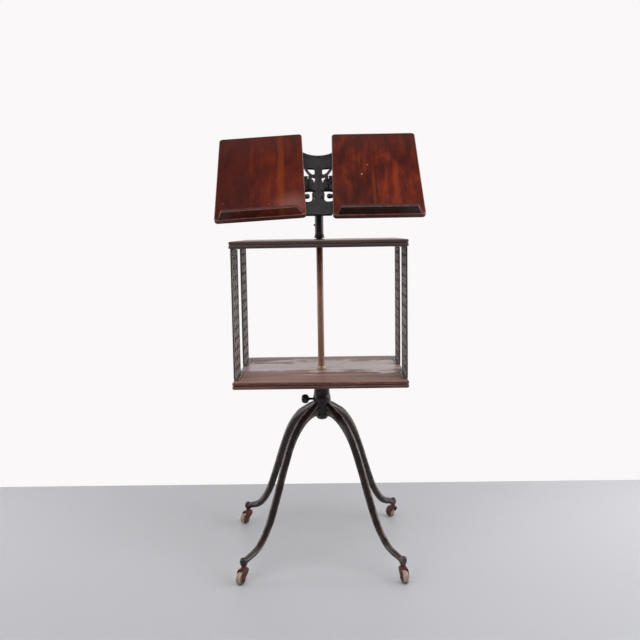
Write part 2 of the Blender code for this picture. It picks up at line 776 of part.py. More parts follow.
def make_head_socket():
    hole = bore(ROD_R)
    socket = piece("head_socket", profile([
        (0.0, SOCKET_TOP_Z),
        (SOCKET_FLARE_R, SOCKET_TOP_Z),
        (SOCKET_FLARE_R, SOCKET_TOP_Z - 0.0035),
        (SOCKET_R, SOCKET_TOP_Z - 0.0080),
        (SOCKET_R, SOCKET_FOOT_Z + SOCKET_COLLAR_H),
        (SOCKET_FLARE_R - 0.0010, SOCKET_FOOT_Z + 0.5 * SOCKET_COLLAR_H),
        (SOCKET_FLARE_R, SOCKET_FOOT_Z + 0.2 * SOCKET_COLLAR_H),
        (SOCKET_FLARE_R - 0.0006, SOCKET_FOOT_Z),
        (hole, SOCKET_FOOT_Z),
        (hole, ROD_TOP_Z + GAP),
        (0.0, ROD_TOP_Z + GAP),
    ]), "black_japanned_iron")
    spin(socket)
    join(socket, outline([fork_side()], 2 * FORK_HALF, "YZ"))
    slot = FORK_HALF - FORK_CHEEK
    cut(socket, box((-slot, -0.03, PIVOT_Z - FORK_SLOT_BELOW), (slot, 0.03, PIVOT_Z + 0.03)))
    cut(socket, cylinder(bore(BOLT_R, SMALL_ROUND), -0.03, 0.03, "X", centre=(0, PIVOT_Z)))
    cut(socket, cylinder(SET_SCREW_R + GAP, -SOCKET_R - 0.003, -hole / 2, "X",
                         centre=(0, SET_SCREW_Z)))


def make_head_screws():
    tip = ROD_R + GAP
    out = SOCKET_R + SET_SCREW_OUT
    screw = piece("head_set_screw", profile([
        (0.0, out),
        (0.7 * SET_SCREW_R, out),
        (SET_SCREW_R, out - 0.0010),
        (SET_SCREW_R, tip),
        (0.0, tip),
    ]), "black_japanned_iron", location=(0, 0, SET_SCREW_Z), rotation=(0, -90, 0))
    spin(screw, PIN_ROUND)
    outside = FORK_HALF + GAP
    bolt = piece("tilt_bolt", profile([
        (0.0, outside + BOLT_HEAD_T),
        (0.75 * BOLT_HEAD_R, outside + 0.85 * BOLT_HEAD_T),
        (BOLT_HEAD_R, outside + 0.4 * BOLT_HEAD_T),
        (BOLT_HEAD_R, outside),
        (BOLT_R, outside),
        (BOLT_R, -outside - BOLT_TAIL),
        (0.0, -outside - BOLT_TAIL),
    ]), "black_japanned_iron", location=(0, 0, PIVOT_Z), rotation=(0, 90, 0))
    spin(bolt, SMALL_ROUND)


def make_wing_nut():
    start = FORK_HALF + GAP
    nut = piece("tilt_wing_nut", profile([
        (0.0, start + NUT_L),
        (0.72 * NUT_R, start + NUT_L),
        (NUT_R, start + 0.35 * NUT_L),
        (NUT_R, start),
        (0.0, start),
    ]), "black_japanned_iron", location=(0, 0, PIVOT_Z), rotation=(0, -90, 0))
    spin(nut, SMALL_ROUND)
    reach = PIVOT_TO_BOARD - PLATE_FRONT - PLATE_T - NUT_CLEAR
    wing = ([(0.0, start + 0.15 * NUT_L)]
            + bend((0.8 * NUT_R, start + 0.15 * NUT_L), (reach, start + 0.2 * NUT_L),
                   (reach, start + 1.1 * NUT_L), 4)
            + bend((0.75 * reach, start + 1.35 * NUT_L), (0.5 * reach, start + NUT_L),
                   (0.5 * NUT_R, start + 0.9 * NUT_L), 3)
            + [(0.0, start + 0.9 * NUT_L)])
    for turned in (0, 180):
        blade = outline([wing], NUT_WING_T)
        blade.transform(Matrix.Rotation(radians(90), 4, "X"))
        blade.transform(Matrix.Rotation(radians(turned), 4, "Z"))
        join(nut, blade, (0, 0, PIVOT_Z), (0, -90, 0))
    cut(nut, cylinder(bore(BOLT_R, SMALL_ROUND), start - 0.001, start + 2 * NUT_L),
        (0, 0, PIVOT_Z), (0, -90, 0))


def plate_outer():
    """Right half of the back plate's outline, from its top middle down to its foot."""
    centre = (0.0, PLATE_TOP + PLATE_TOP_ARC)
    reach = PLATE_HORN_X / PLATE_TOP_ARC
    tip_s = centre[1] - PLATE_TOP_ARC * sqrt(1 - reach ** 2)
    end = -90 + 180 / pi * reach
    horn = (PLATE_HORN_X + 0.8 * PLATE_HORN_R, tip_s - 0.2 * PLATE_HORN_R)
    points = arc(centre, PLATE_TOP_ARC, -90, end, 7)
    points += arc(horn, PLATE_HORN_R, 130, -20, 6)
    points += bend((horn[0] + 0.7 * PLATE_HORN_R, horn[1] - PLATE_HORN_R),
                   (horn[0], (horn[1] + PLATE_WAIST_S) / 2),
                   (PLATE_WAIST_X, PLATE_WAIST_S), 5)
    points += bend((PLATE_WAIST_X, PLATE_WAIST_S), (0.62 * PLATE_WAIST_X, 0.011),
                   (STEM_HALF + 0.0012, 0.0085), 7)[1:]
    points += [(STEM_HALF, 0.0065), (STEM_HALF, -0.0125), (STEM_HALF + 0.0037, -0.0125),
               (STEM_HALF + 0.0037, WING_TOP - 0.001)]
    points += bend((STEM_HALF + 0.0060, WING_TOP), (0.5 * WING_X, WING_TOP + 0.007),
                   (WING_X - 0.004, WING_TOP - 0.003), 4)
    points += arc((WING_X - 0.004, WING_TOP - 0.009), 0.006, 60, -80, 4)
    points += bend((WING_X - 0.008, WING_TOP - 0.018), (RIM_X - 0.006, WING_BOTTOM + 0.012),
                   (RIM_X - 0.006, WING_BOTTOM - 0.003), 3)
    points += bend((RIM_X - 0.004, WING_BOTTOM - 0.006), (RIM_X + 0.006, RIM_S),
                   (SOLID_HALF, SOLID_TOP), 6)
    points += bend((SOLID_HALF, SOLID_TOP), (SOLID_HALF - 0.004, PLATE_BOTTOM + 0.014),
                   (FOOT_HALF + 0.002, PLATE_BOTTOM + 0.003), 4)[1:]
    points.append((FOOT_HALF, PLATE_BOTTOM))
    return points


def plate_eye():
    """Opening between the crescent, the stem and the thin rib that sweeps outwards."""
    return (bend((STEM_HALF + 0.0012, 0.0400), (STEM_HALF + 0.002, 0.0450), (0.0170, 0.0452), 3)
            + bend((0.0170, 0.0452), (0.0240, 0.0450), (0.0288, 0.0470), 2)[1:]
            + bend((0.0290, 0.0440), (0.0235, 0.0215), (0.0130, 0.0170), 6)
            + [(STEM_HALF + 0.0012, 0.0195)])


def plate_scroll():
    """C-shaped opening round a ball-ended scroll that grows from the outer rim."""
    outer = RIM_X - 0.0080
    top = WING_BOTTOM - 0.0060
    low = SOLID_TOP + 0.0005
    around = arc((BALL_X, BALL_S), BALL_R, 38, 322, 9)
    return (bend((STEM_HALF - 0.0020, top - 0.0010), (0.5 * outer, top + 0.0012),
                 (outer - 0.010, top), 3)
            + bend((outer - 0.010, top), (outer, top - 0.001), (outer, top - 0.009), 3)[1:]
            + [(outer, BALL_S + 0.0045)] + around + [(outer, BALL_S - 0.0045)]
            + bend((outer, low + 0.009), (outer, low), (outer - 0.010, low), 3)
            + bend((0.0185, low - 0.0006), (0.0140, low), (0.0140, low + 0.006), 3)
            + bend((0.0140, top - 0.010), (0.0140, top - 0.005), (0.0095, top - 0.0048), 3)
            + [(STEM_HALF - 0.0020, top - 0.0045)])


def plate_slit():
    """Small slit between the inner curl and the stem."""
    return [(0.0075, -0.0730), (0.0100, -0.0720), (0.0104, -0.0830), (0.0075, -0.0840)]


def make_back_plate(tilt):
    half = plate_outer()
    loops = [half + list(reversed(mirrored(half)))[:-1]]
    for opening in (plate_eye(), plate_scroll(), plate_slit()):
        loops += [opening, mirrored(opening)]
    front = PIVOT_TO_BOARD - PLATE_FRONT
    place = (0, -PIVOT_UP, front - PLATE_T / 2)
    plate = piece("back_plate", outline(loops, PLATE_T), "black_japanned_iron", tilt, place)
    back = front - PLATE_T
    lug = arc((0.0, 0.0), LUG_R, 200, 340, 8)
    lug += [(LUG_R + 0.006, back + 0.001), (-LUG_R - 0.006, back + 0.001)]
    join(plate, outline([lug], LUG_T, "YZ"))
    cut(plate, cylinder(bore(BOLT_R, SMALL_ROUND), -LUG_T, LUG_T, "X"))
    axis_z = PIVOT_TO_BOARD - HINGE_BELOW
    middle = HINGE_S - PIVOT_UP
    for side in (-1, 1):
        x = side * HINGE_X
        for end in (-1, 1):
            near = middle + end * (KNUCKLE_LEN / 2 + GAP)
            far = middle + end * HINGE_LEN / 2
            low, high = min(near, far), max(near, far)
            join(plate, box((x - 0.004, low, front - 0.001), (x + 0.004, high, axis_z)))
            join(plate, cylinder(KNUCKLE_R, low, high, "Y", centre=(x, axis_z)))
        cut(plate, cylinder(PIN_R + GAP, middle - HINGE_LEN, middle + HINGE_LEN, "Y",
                            centre=(x, axis_z)))


def make_leaf(tilt, side, name, drop, skew):
    """One folding leaf: arm, book board and ledge on the hinge's axis, and the hinge pin."""
    axis_z = PIVOT_TO_BOARD - HINGE_BELOW
    middle = HINGE_S - PIVOT_UP
    half = HINGE_LEN / 2 + GAP
    pin = piece("hinge_pin_" + name, profile([
        (0.0, half + PIN_HEAD_T),
        (0.7 * PIN_HEAD_R, half + 0.8 * PIN_HEAD_T),
        (PIN_HEAD_R, half),
        (PIN_R, half),
        (PIN_R, -half - 0.001),
        (0.0, -half - 0.001),
    ]), "bright_steel", tilt, (side * HINGE_X, middle, axis_z), (-90, 0, 0))
    spin(pin, PIN_ROUND)

    leaf = axis_empty("leaf_" + name, tilt, (side * HINGE_X, middle, axis_z), (0, side * drop, 0))
    make_arm(leaf, side, name, drop)

    reach = BOARD_GAP / 2 + BOARD_W / 2 - HINGE_X
    board = piece("book_board_" + name, slab(BOARD_W, BOARD_H, BOARD_T, BOARD_CORNER),
                  "board_mahogany", leaf,
                  (side * reach, -HINGE_S, HINGE_BELOW - BOARD_T / 2), (0, 0, skew))
    round_edges(board, BOARD_EDGE)
    foot = -BOARD_H / 2 + LEDGE_UP
    front = BOARD_T / 2 + GAP
    section = [(-LEDGE_BASE / 2, 0.0), (LEDGE_BASE / 2, 0.0), (LEDGE_TOP / 2, LEDGE_H),
               (-LEDGE_TOP / 2, LEDGE_H)]
    strip = outline([section], LEDGE_T)
    strip.transform(Matrix.Rotation(radians(90), 4, "X"))
    ledge = piece("ledge_" + name, strip, "board_mahogany", board,
                  (0, foot + LEDGE_T / 2, front))
    round_edges(ledge, 0.0012)


def make_arm(leaf, side, name, drop):
    """Tapered arm under a book board, with a knuckle on the pin and a stop on the plate."""
    top = HINGE_BELOW - BOARD_T - GAP
    low = top - ARM_T
    knuckle = KNUCKLE_LEN / 2 - GAP
    root = KNUCKLE_R + ARM_CLEAR
    half = ([(0.0, -knuckle), (root, -knuckle), (root, -HINGE_LEN / 2)]
            + bend((0.45 * root + 0.010, -HINGE_LEN / 2), (0.040, -0.90 * HINGE_LEN / 2),
                   (0.080, -0.58 * HINGE_LEN / 2), 4)
            + arc((ARM_REACH, 0.0), ARM_TIP_R, -90, 0, 5))
    shape = half + [(x, -y) for x, y in reversed(half[:-1])]
    arm = piece("arm_" + name, outline([[(side * x, y) for x, y in shape]], ARM_T),
                "black_japanned_iron", leaf, (0, 0, (top + low) / 2))
    join(arm, cylinder(KNUCKLE_R, -knuckle, knuckle, "Y"))
    # The stop is as tall as the gap to the plate, less what a dropped leaf takes up
    gap = PLATE_FRONT - HINGE_BELOW
    tall = gap - GAP - sin(radians(drop)) * (STOP_REACH + STOP_R)
    stop_s = -0.004
    if tall > -low + GAP:
        join(arm, cylinder(STOP_R, -tall, low + 0.0005, sides=SMALL_ROUND,
                           centre=(side * STOP_REACH, stop_s)))
    cut(arm, cylinder(bore(PIN_R, SMALL_ROUND), -HINGE_LEN, HINGE_LEN, "Y"))


def main():
    clear_scene()
    make_collection("bookstand")
    cutters = make_collection("cutters")
    cutters.hide_render = True
    for name in FINISHES:
        make_finish(name)

    make_hub()
    make_hub_cap()
    make_thumbscrew()
    make_column()
    for corner, angle in LEG_ANGLES.items():
        foot = make_leg(corner, angle)
        make_caster(corner, foot)

    make_washer()
    make_shelf_board("bottom_board", SHELF_UNDER_Z)
    make_shelf_board("top_board", CROWN_UNDER_Z)
    make_bush("bottom_bush", SHELF_UNDER_Z, LOW_FLANGE_H)
    make_bush("top_bush", CROWN_UNDER_Z, TOP_FLANGE_H)
    for side_name, side in (("left", -1), ("right", 1)):
        for end_name, end in (("front", -1), ("back", 1)):
            make_side_panel("side_panel_" + side_name + "_" + end_name, side, end)

    make_head_socket()
    make_head_screws()
    make_wing_nut()
    tilt = axis_empty("tilt_axis", None, (0, 0, PIVOT_Z), (BOARD_PITCH, 0, 0))
    make_back_plate(tilt)
    make_leaf(tilt, -1, "left", LEFT_DROP, LEFT_SKEW)
    make_leaf(tilt, 1, "right", 0.0, 0.0)
    bpy.context.view_layer.update()


main()
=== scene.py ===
"""Visible surfaces and finishes of a revolving bookstand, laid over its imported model.

Each piece is a grid of points worked out with numpy and set into a mesh. Metres, +Z up, the column
on the Z axis, the reader on the -Y side. A piece's place is in its mesh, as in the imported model.
"""

import json
from math import atan2, degrees, pi, radians

import bmesh
import bpy
import numpy as np
from mathutils import Matrix, Vector


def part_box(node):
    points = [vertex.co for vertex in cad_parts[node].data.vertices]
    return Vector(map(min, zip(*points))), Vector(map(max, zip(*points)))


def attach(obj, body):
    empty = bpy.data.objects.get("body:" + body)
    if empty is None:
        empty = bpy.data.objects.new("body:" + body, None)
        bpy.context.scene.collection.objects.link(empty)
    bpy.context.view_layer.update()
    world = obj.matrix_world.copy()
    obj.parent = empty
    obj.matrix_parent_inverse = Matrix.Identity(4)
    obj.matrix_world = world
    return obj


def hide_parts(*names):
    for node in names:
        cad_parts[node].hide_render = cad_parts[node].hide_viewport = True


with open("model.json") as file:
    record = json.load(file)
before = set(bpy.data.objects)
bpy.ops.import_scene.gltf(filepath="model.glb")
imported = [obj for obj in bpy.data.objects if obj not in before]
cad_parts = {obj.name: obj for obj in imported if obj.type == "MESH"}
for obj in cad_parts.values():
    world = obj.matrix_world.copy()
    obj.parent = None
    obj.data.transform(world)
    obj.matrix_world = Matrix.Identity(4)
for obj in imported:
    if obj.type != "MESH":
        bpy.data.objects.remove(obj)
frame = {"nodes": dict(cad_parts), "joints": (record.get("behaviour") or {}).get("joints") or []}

bl_info = {
    "name": "Revolving Bookstand",
    "version": (1, 0, 0),
    "blender": (4, 5, 0),
    "location": "3D View > Sidebar > Bookstand",
    "description": "Builds the pieces and finishes of a revolving bookstand",
    "category": "Add Mesh",
}

JOINTS = {joint["name"]: joint for joint in frame["joints"]}
CORNERS = ("front_left", "front_right", "back_right", "back_left")

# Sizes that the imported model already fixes
PIVOT_Z = JOINTS["plate_tilt"]["pos_m"][2]
BOARD_PITCH = 40.0      # slope of the book boards, degrees
PIVOT_TO_BOARD = 0.0400
PIVOT_UP = 0.0100
HINGE_X = 0.0200
HINGE_BELOW = 0.0150
HINGE_S = -0.0180
KNUCKLE_LEN = 0.0180
KNUCKLE_R = 0.0045
PLATE_FRONT = 0.0200
PLATE_T = 0.0060
DROP = {-1: 1.8, 1: 0.0}    # how far the left and the right leaf hang back, degrees
SKEW = {-1: 2.8, 1: 0.0}    # how far each board is turned on its arm, degrees
BOARD_W = 0.2100
BOARD_H = 0.3360
BOARD_T = 0.0130
BOARD_GAP = 0.0700
SHELF_W = 0.4070
SHELF_D = 0.3710
SHELF_T = 0.0160
PANEL_W = 0.1150
PANEL_T = 0.0030
PANEL_NEAR = 0.0400
PANEL_FRAME = 0.0085
PANEL_COLUMNS = 3
PANEL_ROWS = 12
HUB_R = 0.0225
FOOT_REACH = 0.2770
WHEEL_R = 0.0142
CASTER_TRAIL = 0.0130
HORN_HALF = 0.0094
FORK_HALF = 0.0103
FORK_CHEEK = 0.0050
ROD_R = 0.0080
ROD_BORE_R = 0.0084     # bore of what turns or slides on the column
PIN_BORE_R = 0.0022     # bore of the leaf hinges' knuckles
BOLT_BORE_R = 0.0034    # bore of what the tilt bolt goes through
GAP = 0.0003            # between two pieces that rest or move on each other

# Height, slot width and slot depth of the small screws' heads
SCREW_HEAD = (0.0011, 0.0008, 0.0009)


# Shapes

def softened(points, radius, steps=5, closed=True):
    """An outline or profile with its corners rounded.

    Each corner becomes a quadratic curve that leaves one side and meets the next at the same
    reach from the corner, which is the radius, or just under half of the shorter side.
    """
    points = np.asarray(points, float)
    before = np.roll(points, 1, axis=0) - points
    after = np.roll(points, -1, axis=0) - points
    far_before = np.linalg.norm(before, axis=1)
    far_after = np.linalg.norm(after, axis=1)
    reach = np.minimum(radius, 0.49 * np.minimum(far_before, far_after))
    start = points + before * (reach / far_before)[:, None]
    end = points + after * (reach / far_after)[:, None]
    t = np.linspace(0.0, 1.0, steps)[None, :, None]
    curve = ((1 - t) ** 2 * start[:, None] + 2 * t * (1 - t) * points[:, None]
             + t ** 2 * end[:, None])
    if closed:
        return curve.reshape(-1, points.shape[1])
    inner = curve[1:-1].reshape(-1, points.shape[1])
    return np.concatenate([points[:1], inner, points[-1:]])


def bend(start, pull, end, steps):
    """Quadratic curve from start to end, drawn towards pull."""
    t = np.linspace(0.0, 1.0, steps + 1)[:, None]
    start, pull, end = (np.asarray(point, float) for point in (start, pull, end))
    return (1 - t) ** 2 * start + 2 * t * (1 - t) * pull + t ** 2 * end


def arc(centre, radius, start, end, steps):
    """Points at equal angles, in degrees, round a centre."""
    angle = np.radians(np.linspace(start, end, steps + 1))
    return np.asarray(centre) + radius * np.stack([np.cos(angle), np.sin(angle)], axis=-1)


def round_hole(centre, radius):
    """Outline of a drilled hole, with a point every 15 degrees."""
    return arc(centre, radius, 0, 345, 23)


def smooth_through(stations, steps):
    """Catmull-Rom curve: each span is a cubic, its slope at a station half the chord past it."""
    stations = np.asarray(stations, float)
    padded = np.concatenate([2 * stations[:1] - stations[1:2], stations,
                             2 * stations[-1:] - stations[-2:-1]])
    a, b, c, d = (padded[i:len(padded) - 3 + i, None] for i in range(4))
    t = (np.arange(steps) / steps)[None, :, None]
    spans = 0.5 * (2 * b + (c - a) * t + (2 * a - 5 * b + 4 * c - d) * t ** 2
                   + (3 * b - a - 3 * c + d) * t ** 3)
    return np.concatenate([spans.reshape(-1, stations.shape[1]), stations[-1:]])


def turned(profile, sides=48, lobes=0, depth=0.0):
    """Surface of revolution: each (radius, height) goes once round Z, in a grid of both.

    With lobes, the radius swells and shrinks as a cosine of that many times the angle.
    """
    profile = np.asarray(profile, float)
    angle = np.arange(sides) * 2 * pi / sides
    radius = profile[:, :1] * (1 + depth * np.cos(lobes * angle))
    height = np.broadcast_to(profile[:, 1:2], radius.shape)
    return np.stack([radius * np.cos(angle), radius * np.sin(angle), height], axis=-1)


def swept(path, section, upright=(0.0, 0.0, 1.0), closed=False):
    """A section carried along a path: its first number goes sideways and its second outwards.

    Sideways is square to the path and to the upright, and outwards square to both.
    """
    path = np.asarray(path, float)
    section = np.asarray(section, float)
    if closed:
        along = np.roll(path, -1, axis=0) - np.roll(path, 1, axis=0)
    else:
        along = np.gradient(path, axis=0)
    along /= np.linalg.norm(along, axis=1, keepdims=True)
    side = np.cross(np.broadcast_to(upright, path.shape), along)
    side /= np.linalg.norm(side, axis=1, keepdims=True)
    out = np.cross(along, side)
    return (path[:, None] + side[:, None] * section[None, :, :1]
            + out[:, None] * section[None, :, 1:2])


def inset_rings(outline, profile):
    """Rings of one outline, each drawn in by an inset and raised to a height.

    A point moves along the bisector of its two sides, far enough for both sides to move by the
    inset. The outline runs counterclockwise.
    """
    outline = np.asarray(outline, float)
    after = np.roll(outline, -1, axis=0) - outline
    after /= np.linalg.norm(after, axis=1, keepdims=True)
    before = np.roll(after, 1, axis=0)
    inward = np.stack([-(after + before)[:, 1], (after + before)[:, 0]], axis=-1)
    inward /= np.linalg.norm(inward, axis=1, keepdims=True)
    square = -inward[:, 0] * after[:, 1] + inward[:, 1] * after[:, 0]
    inward /= square[:, None]
    profile = np.asarray(profile, float)
    flat = outline[None] + inward[None] * profile[:, None, :1]
    height = np.broadcast_to(profile[:, None, 1:2], flat.shape[:2] + (1,))
    return np.concatenate([flat, height], axis=-1)


def rounded_rectangle(width, depth, corner, steps=8):
    """Counterclockwise outline of four quarter circles joined by straight sides."""
    x, y = width / 2 - corner, depth / 2 - corner
    quarters = [arc((sx * x, sy * y), corner, start, start + 90, steps)
                for sx, sy, start in ((1, 1, 0), (-1, 1, 90), (-1, -1, 180), (1, -1, 270))]
    return np.concatenate(quarters)


def with_ends(grid):
    """The grid with its first and last ring drawn together to their middles."""
    first = np.broadcast_to(grid[:1].mean(axis=1, keepdims=True), grid[:1].shape)
    last = np.broadcast_to(grid[-1:].mean(axis=1, keepdims=True), grid[-1:].shape)
    return np.concatenate([first, grid, last])


def skin(grid, relief=0.0, looped=False):
    """Vertices, faces and relief of a grid whose columns close on themselves.

    A looped grid's rows close too. Leading axes are copies. Relief is 1 on a ridge, -1 in a groove.
    """
    rows, columns = grid.shape[-3:-1]
    copies = int(np.prod(grid.shape[:-3]))
    row = np.arange(rows if looped else rows - 1)[:, None] * columns
    after = (row + columns) % (rows * columns)
    column = np.arange(columns)[None]
    beside = (column + 1) % columns
    cells = np.stack([row + column, row + beside, after + beside, after + column], axis=-1)
    faces = cells.reshape(1, -1, 4) + np.arange(copies)[:, None, None] * rows * columns
    marks = np.broadcast_to(relief, grid.shape[:-1]).reshape(-1)
    return grid.reshape(-1, 3), faces.reshape(-1, 4), marks


def slab_skin(outline, thickness, radius, steps=5):
    """A flat slab about its middle: rings of its outline go round its edge from below to above.

    The edge is a quarter circle, a straight side and a quarter circle. Relief is 1 on the side and
    falls to 0 where the flat begins.
    """
    low = arc((radius, -thickness / 2 + radius), radius, 270, 180, steps)
    high = arc((radius, thickness / 2 - radius), radius, 180, 90, steps)
    profile = np.concatenate([low, high])
    grid = with_ends(inset_rings(outline, profile))
    marks = np.clip(1 - profile[:, 0] / radius, 0.0, 1.0)
    marks = np.concatenate([[0.0], marks, [0.0]])[:, None]
    return skin(grid, np.broadcast_to(marks, grid.shape[:2]))


def placed(shape, matrix):
    """A skin carried by a matrix, or by a stack of matrices into as many copies."""
    points, faces, marks = shape
    matrix = np.asarray(matrix).reshape(-1, 4, 4)
    moved = np.einsum("nij,vj->nvi", matrix[:, :3, :3], points) + matrix[:, None, :3, 3]
    count = len(matrix)
    shifted = faces[None] + np.arange(count)[:, None, None] * len(points)
    return moved.reshape(-1, 3), shifted.reshape(-1, faces.shape[1]), np.tile(marks, count)


def shift(x=0.0, y=0.0, z=0.0):
    """A move, in metres."""
    return np.array(Matrix.Translation((x, y, z)))


def turn(axis, angle):
    """A rotation by an angle in degrees."""
    return np.array(Matrix.Rotation(radians(angle), 4, axis))


def heading(direction):
    """Angle of a direction seen from above, in degrees from +X."""
    return degrees(atan2(direction[1], direction[0]))


def counterclockwise(loop, wanted=True):
    """The loop, turned round where the sign of its area isn't the wanted one."""
    loop = np.asarray(loop, float)
    after = np.roll(loop, -1, axis=0)
    area = (loop[:, 0] * after[:, 1] - after[:, 0] * loop[:, 1]).sum()
    return loop if (area > 0) == wanted else loop[::-1]


def cut_plate(loops, thickness, rounding):
    """A flat plate from its outer loop and its openings, with rounded edges.

    A filled flat curve gives it, because an outline with openings has no grid. It is made a mesh.
    """
    curve = bpy.data.curves.new("plate", "CURVE")
    curve.dimensions = "2D"
    curve.fill_mode = "BOTH"
    curve.extrude = thickness / 2 - rounding
    curve.bevel_depth = rounding
    curve.bevel_resolution = 2
    curve.offset = -rounding
    for i, loop in enumerate(loops):
        loop = counterclockwise(loop, i == 0)
        spline = curve.splines.new("POLY")
        spline.points.add(len(loop) - 1)
        flat = np.zeros((len(loop), 4))
        flat[:, :2] = loop
        flat[:, 3] = 1.0
        spline.points.foreach_set("co", flat.ravel())
        spline.use_cyclic_u = True
    holder = bpy.data.objects.new("plate", curve)
    bpy.context.scene.collection.objects.link(holder)
    bpy.context.view_layer.update()
    evaluated = holder.evaluated_get(bpy.context.evaluated_depsgraph_get())
    mesh = bpy.data.meshes.new_from_object(evaluated)
    mesh.calc_loop_triangles()
    points = np.zeros(len(mesh.vertices) * 3)
    mesh.vertices.foreach_get("co", points)
    corners = np.zeros(len(mesh.loop_triangles) * 3, int)
    mesh.loop_triangles.foreach_get("vertices", corners)
    bpy.data.objects.remove(holder)
    bpy.data.curves.remove(curve)
    bpy.data.meshes.remove(mesh)
    points = points.reshape(-1, 3)
    return points, corners.reshape(-1, 3), np.zeros(len(points))


def slotted_head(radius, height, slot_width, slot_depth, steps=20):
    """A raised countersunk screw head, on a grid of strips across the slot by steps along it.

    Across, the strips stand closer at the slot's edges. Along, each strip runs from rim to rim,
    as far as the circle lets it. The height falls off as a paraboloid, less the slot.
    """
    half = slot_width / 2
    edge = half / radius
    brink = edge + 0.001
    across = radius * np.array([-1.0, -0.85, -0.6, -0.35, -brink, -edge,
                                edge, brink, 0.35, 0.6, 0.85, 1.0])
    reach = np.sqrt(np.maximum(radius ** 2 - across ** 2, 0.0))[:, None]
    y = np.linspace(-1.0, 1.0, steps)[None] * reach
    x = np.broadcast_to(across[:, None], y.shape)
    crown = height * (1 - (x ** 2 + y ** 2) / radius ** 2)
    in_slot = (np.abs(x) <= half * 1.0001).astype(float)
    above = np.stack([x, y, crown - slot_depth * in_slot], axis=-1)
    below = np.stack([x, y, np.full_like(x, -height)], axis=-1)[:, ::-1]
    marks = np.concatenate([-in_slot, np.zeros_like(x)], axis=1)
    return skin(np.concatenate([above, below], axis=1), marks)


# Pieces

def make_piece(name, skins, finish, body, replaced=(), crease=35):
    """One object from its skins, riding on a body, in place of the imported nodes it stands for.

    A fold of more degrees than the crease stays sharp.
    """
    points, faces, marks = zip(*skins)
    starts = np.cumsum([0] + [len(part) for part in points])
    corners = []
    for part, start in zip(faces, starts):
        corners += (part + start).tolist()
    mesh = bpy.data.meshes.new(name)
    mesh.from_pydata(np.concatenate(points).tolist(), [], corners)
    relief = mesh.attributes.new("relief", "FLOAT", "POINT")
    relief.data.foreach_set("value", np.concatenate(marks))
    bm = bmesh.new()
    bm.from_mesh(mesh)
    bmesh.ops.remove_doubles(bm, verts=bm.verts, dist=0.000002)
    bmesh.ops.recalc_face_normals(bm, faces=bm.faces)
    bm.to_mesh(mesh)
    bm.free()
    mesh.shade_smooth()
    mesh.set_sharp_from_angle(angle=radians(crease))
    mesh.materials.append(finish)
    piece = bpy.data.objects.new(name, mesh)
    bpy.context.scene.collection.objects.link(piece)
    # Normals weighted by area keep a broad face flat up to its rounding
    weighted = piece.modifiers.new("Weighted Normal", "WEIGHTED_NORMAL")
    weighted.keep_sharp = True
    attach(piece, body)
    if replaced:
        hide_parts(*replaced)
    return piece


def refinish(node, finish):
    """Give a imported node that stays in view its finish."""
    thing = frame["nodes"][node]
    thing.data.materials.clear()
    thing.data.materials.append(finish)


# Finishes

def linear(hex_colour):
    """sRGB hex to linear red, green, blue and full alpha."""
    channels = np.array([int(hex_colour[i:i + 2], 16) / 255 for i in (0, 2, 4)])
    low = channels / 12.92
    high = ((channels + 0.055) / 1.055) ** 2.4
    return (*np.where(channels <= 0.04045, low, high).tolist(), 1.0)


def per_metre(millimetres):
    """Scale of a pattern whose grain is this many millimetres."""
    return 1000.0 / millimetres


def first_output(node):
    """A node's first output in use."""
    return next(output for output in node.outputs if output.enabled)


def add(tree, kind, inputs=(), stops=None, **settings):
    """Add a node, with its settings, its inputs and a ramp's stops.

    An input is a plain value, a socket, or a node, which gives its first output in use.
    """
    node = tree.nodes.new("ShaderNode" + kind)
    for key, value in settings.items():
        setattr(node, key, value)
    for key, value in dict(inputs).items():
        if isinstance(value, bpy.types.Node):
            value = first_output(value)
        if isinstance(value, bpy.types.NodeSocket):
            tree.links.new(value, node.inputs[key])
        else:
            node.inputs[key].default_value = value
    if stops:
        ramp = node.color_ramp.elements
        while len(ramp) < len(stops):
            ramp.new(0.5)
        for element, (position, colour) in zip(ramp, stops):
            element.position = position
            element.color = colour if isinstance(colour, tuple) else linear(colour)
    return node


def new_finish(name):
    """An empty material: its node tree, its shader and the piece's own coordinates in metres."""
    finish = bpy.data.materials.new(name)
    finish.use_nodes = True
    tree = finish.node_tree
    shader = tree.nodes["Principled BSDF"]
    where = add(tree, "TexCoord").outputs["Object"]
    return finish, tree, shader, where


def set_shader(tree, shader, **inputs):
    """Join nodes or values to the shader's sockets, named with _ for a space."""
    for key, value in inputs.items():
        socket = shader.inputs[key.replace("_", " ")]
        if isinstance(value, bpy.types.Node):
            tree.links.new(first_output(value), socket)
        else:
            socket.default_value = value


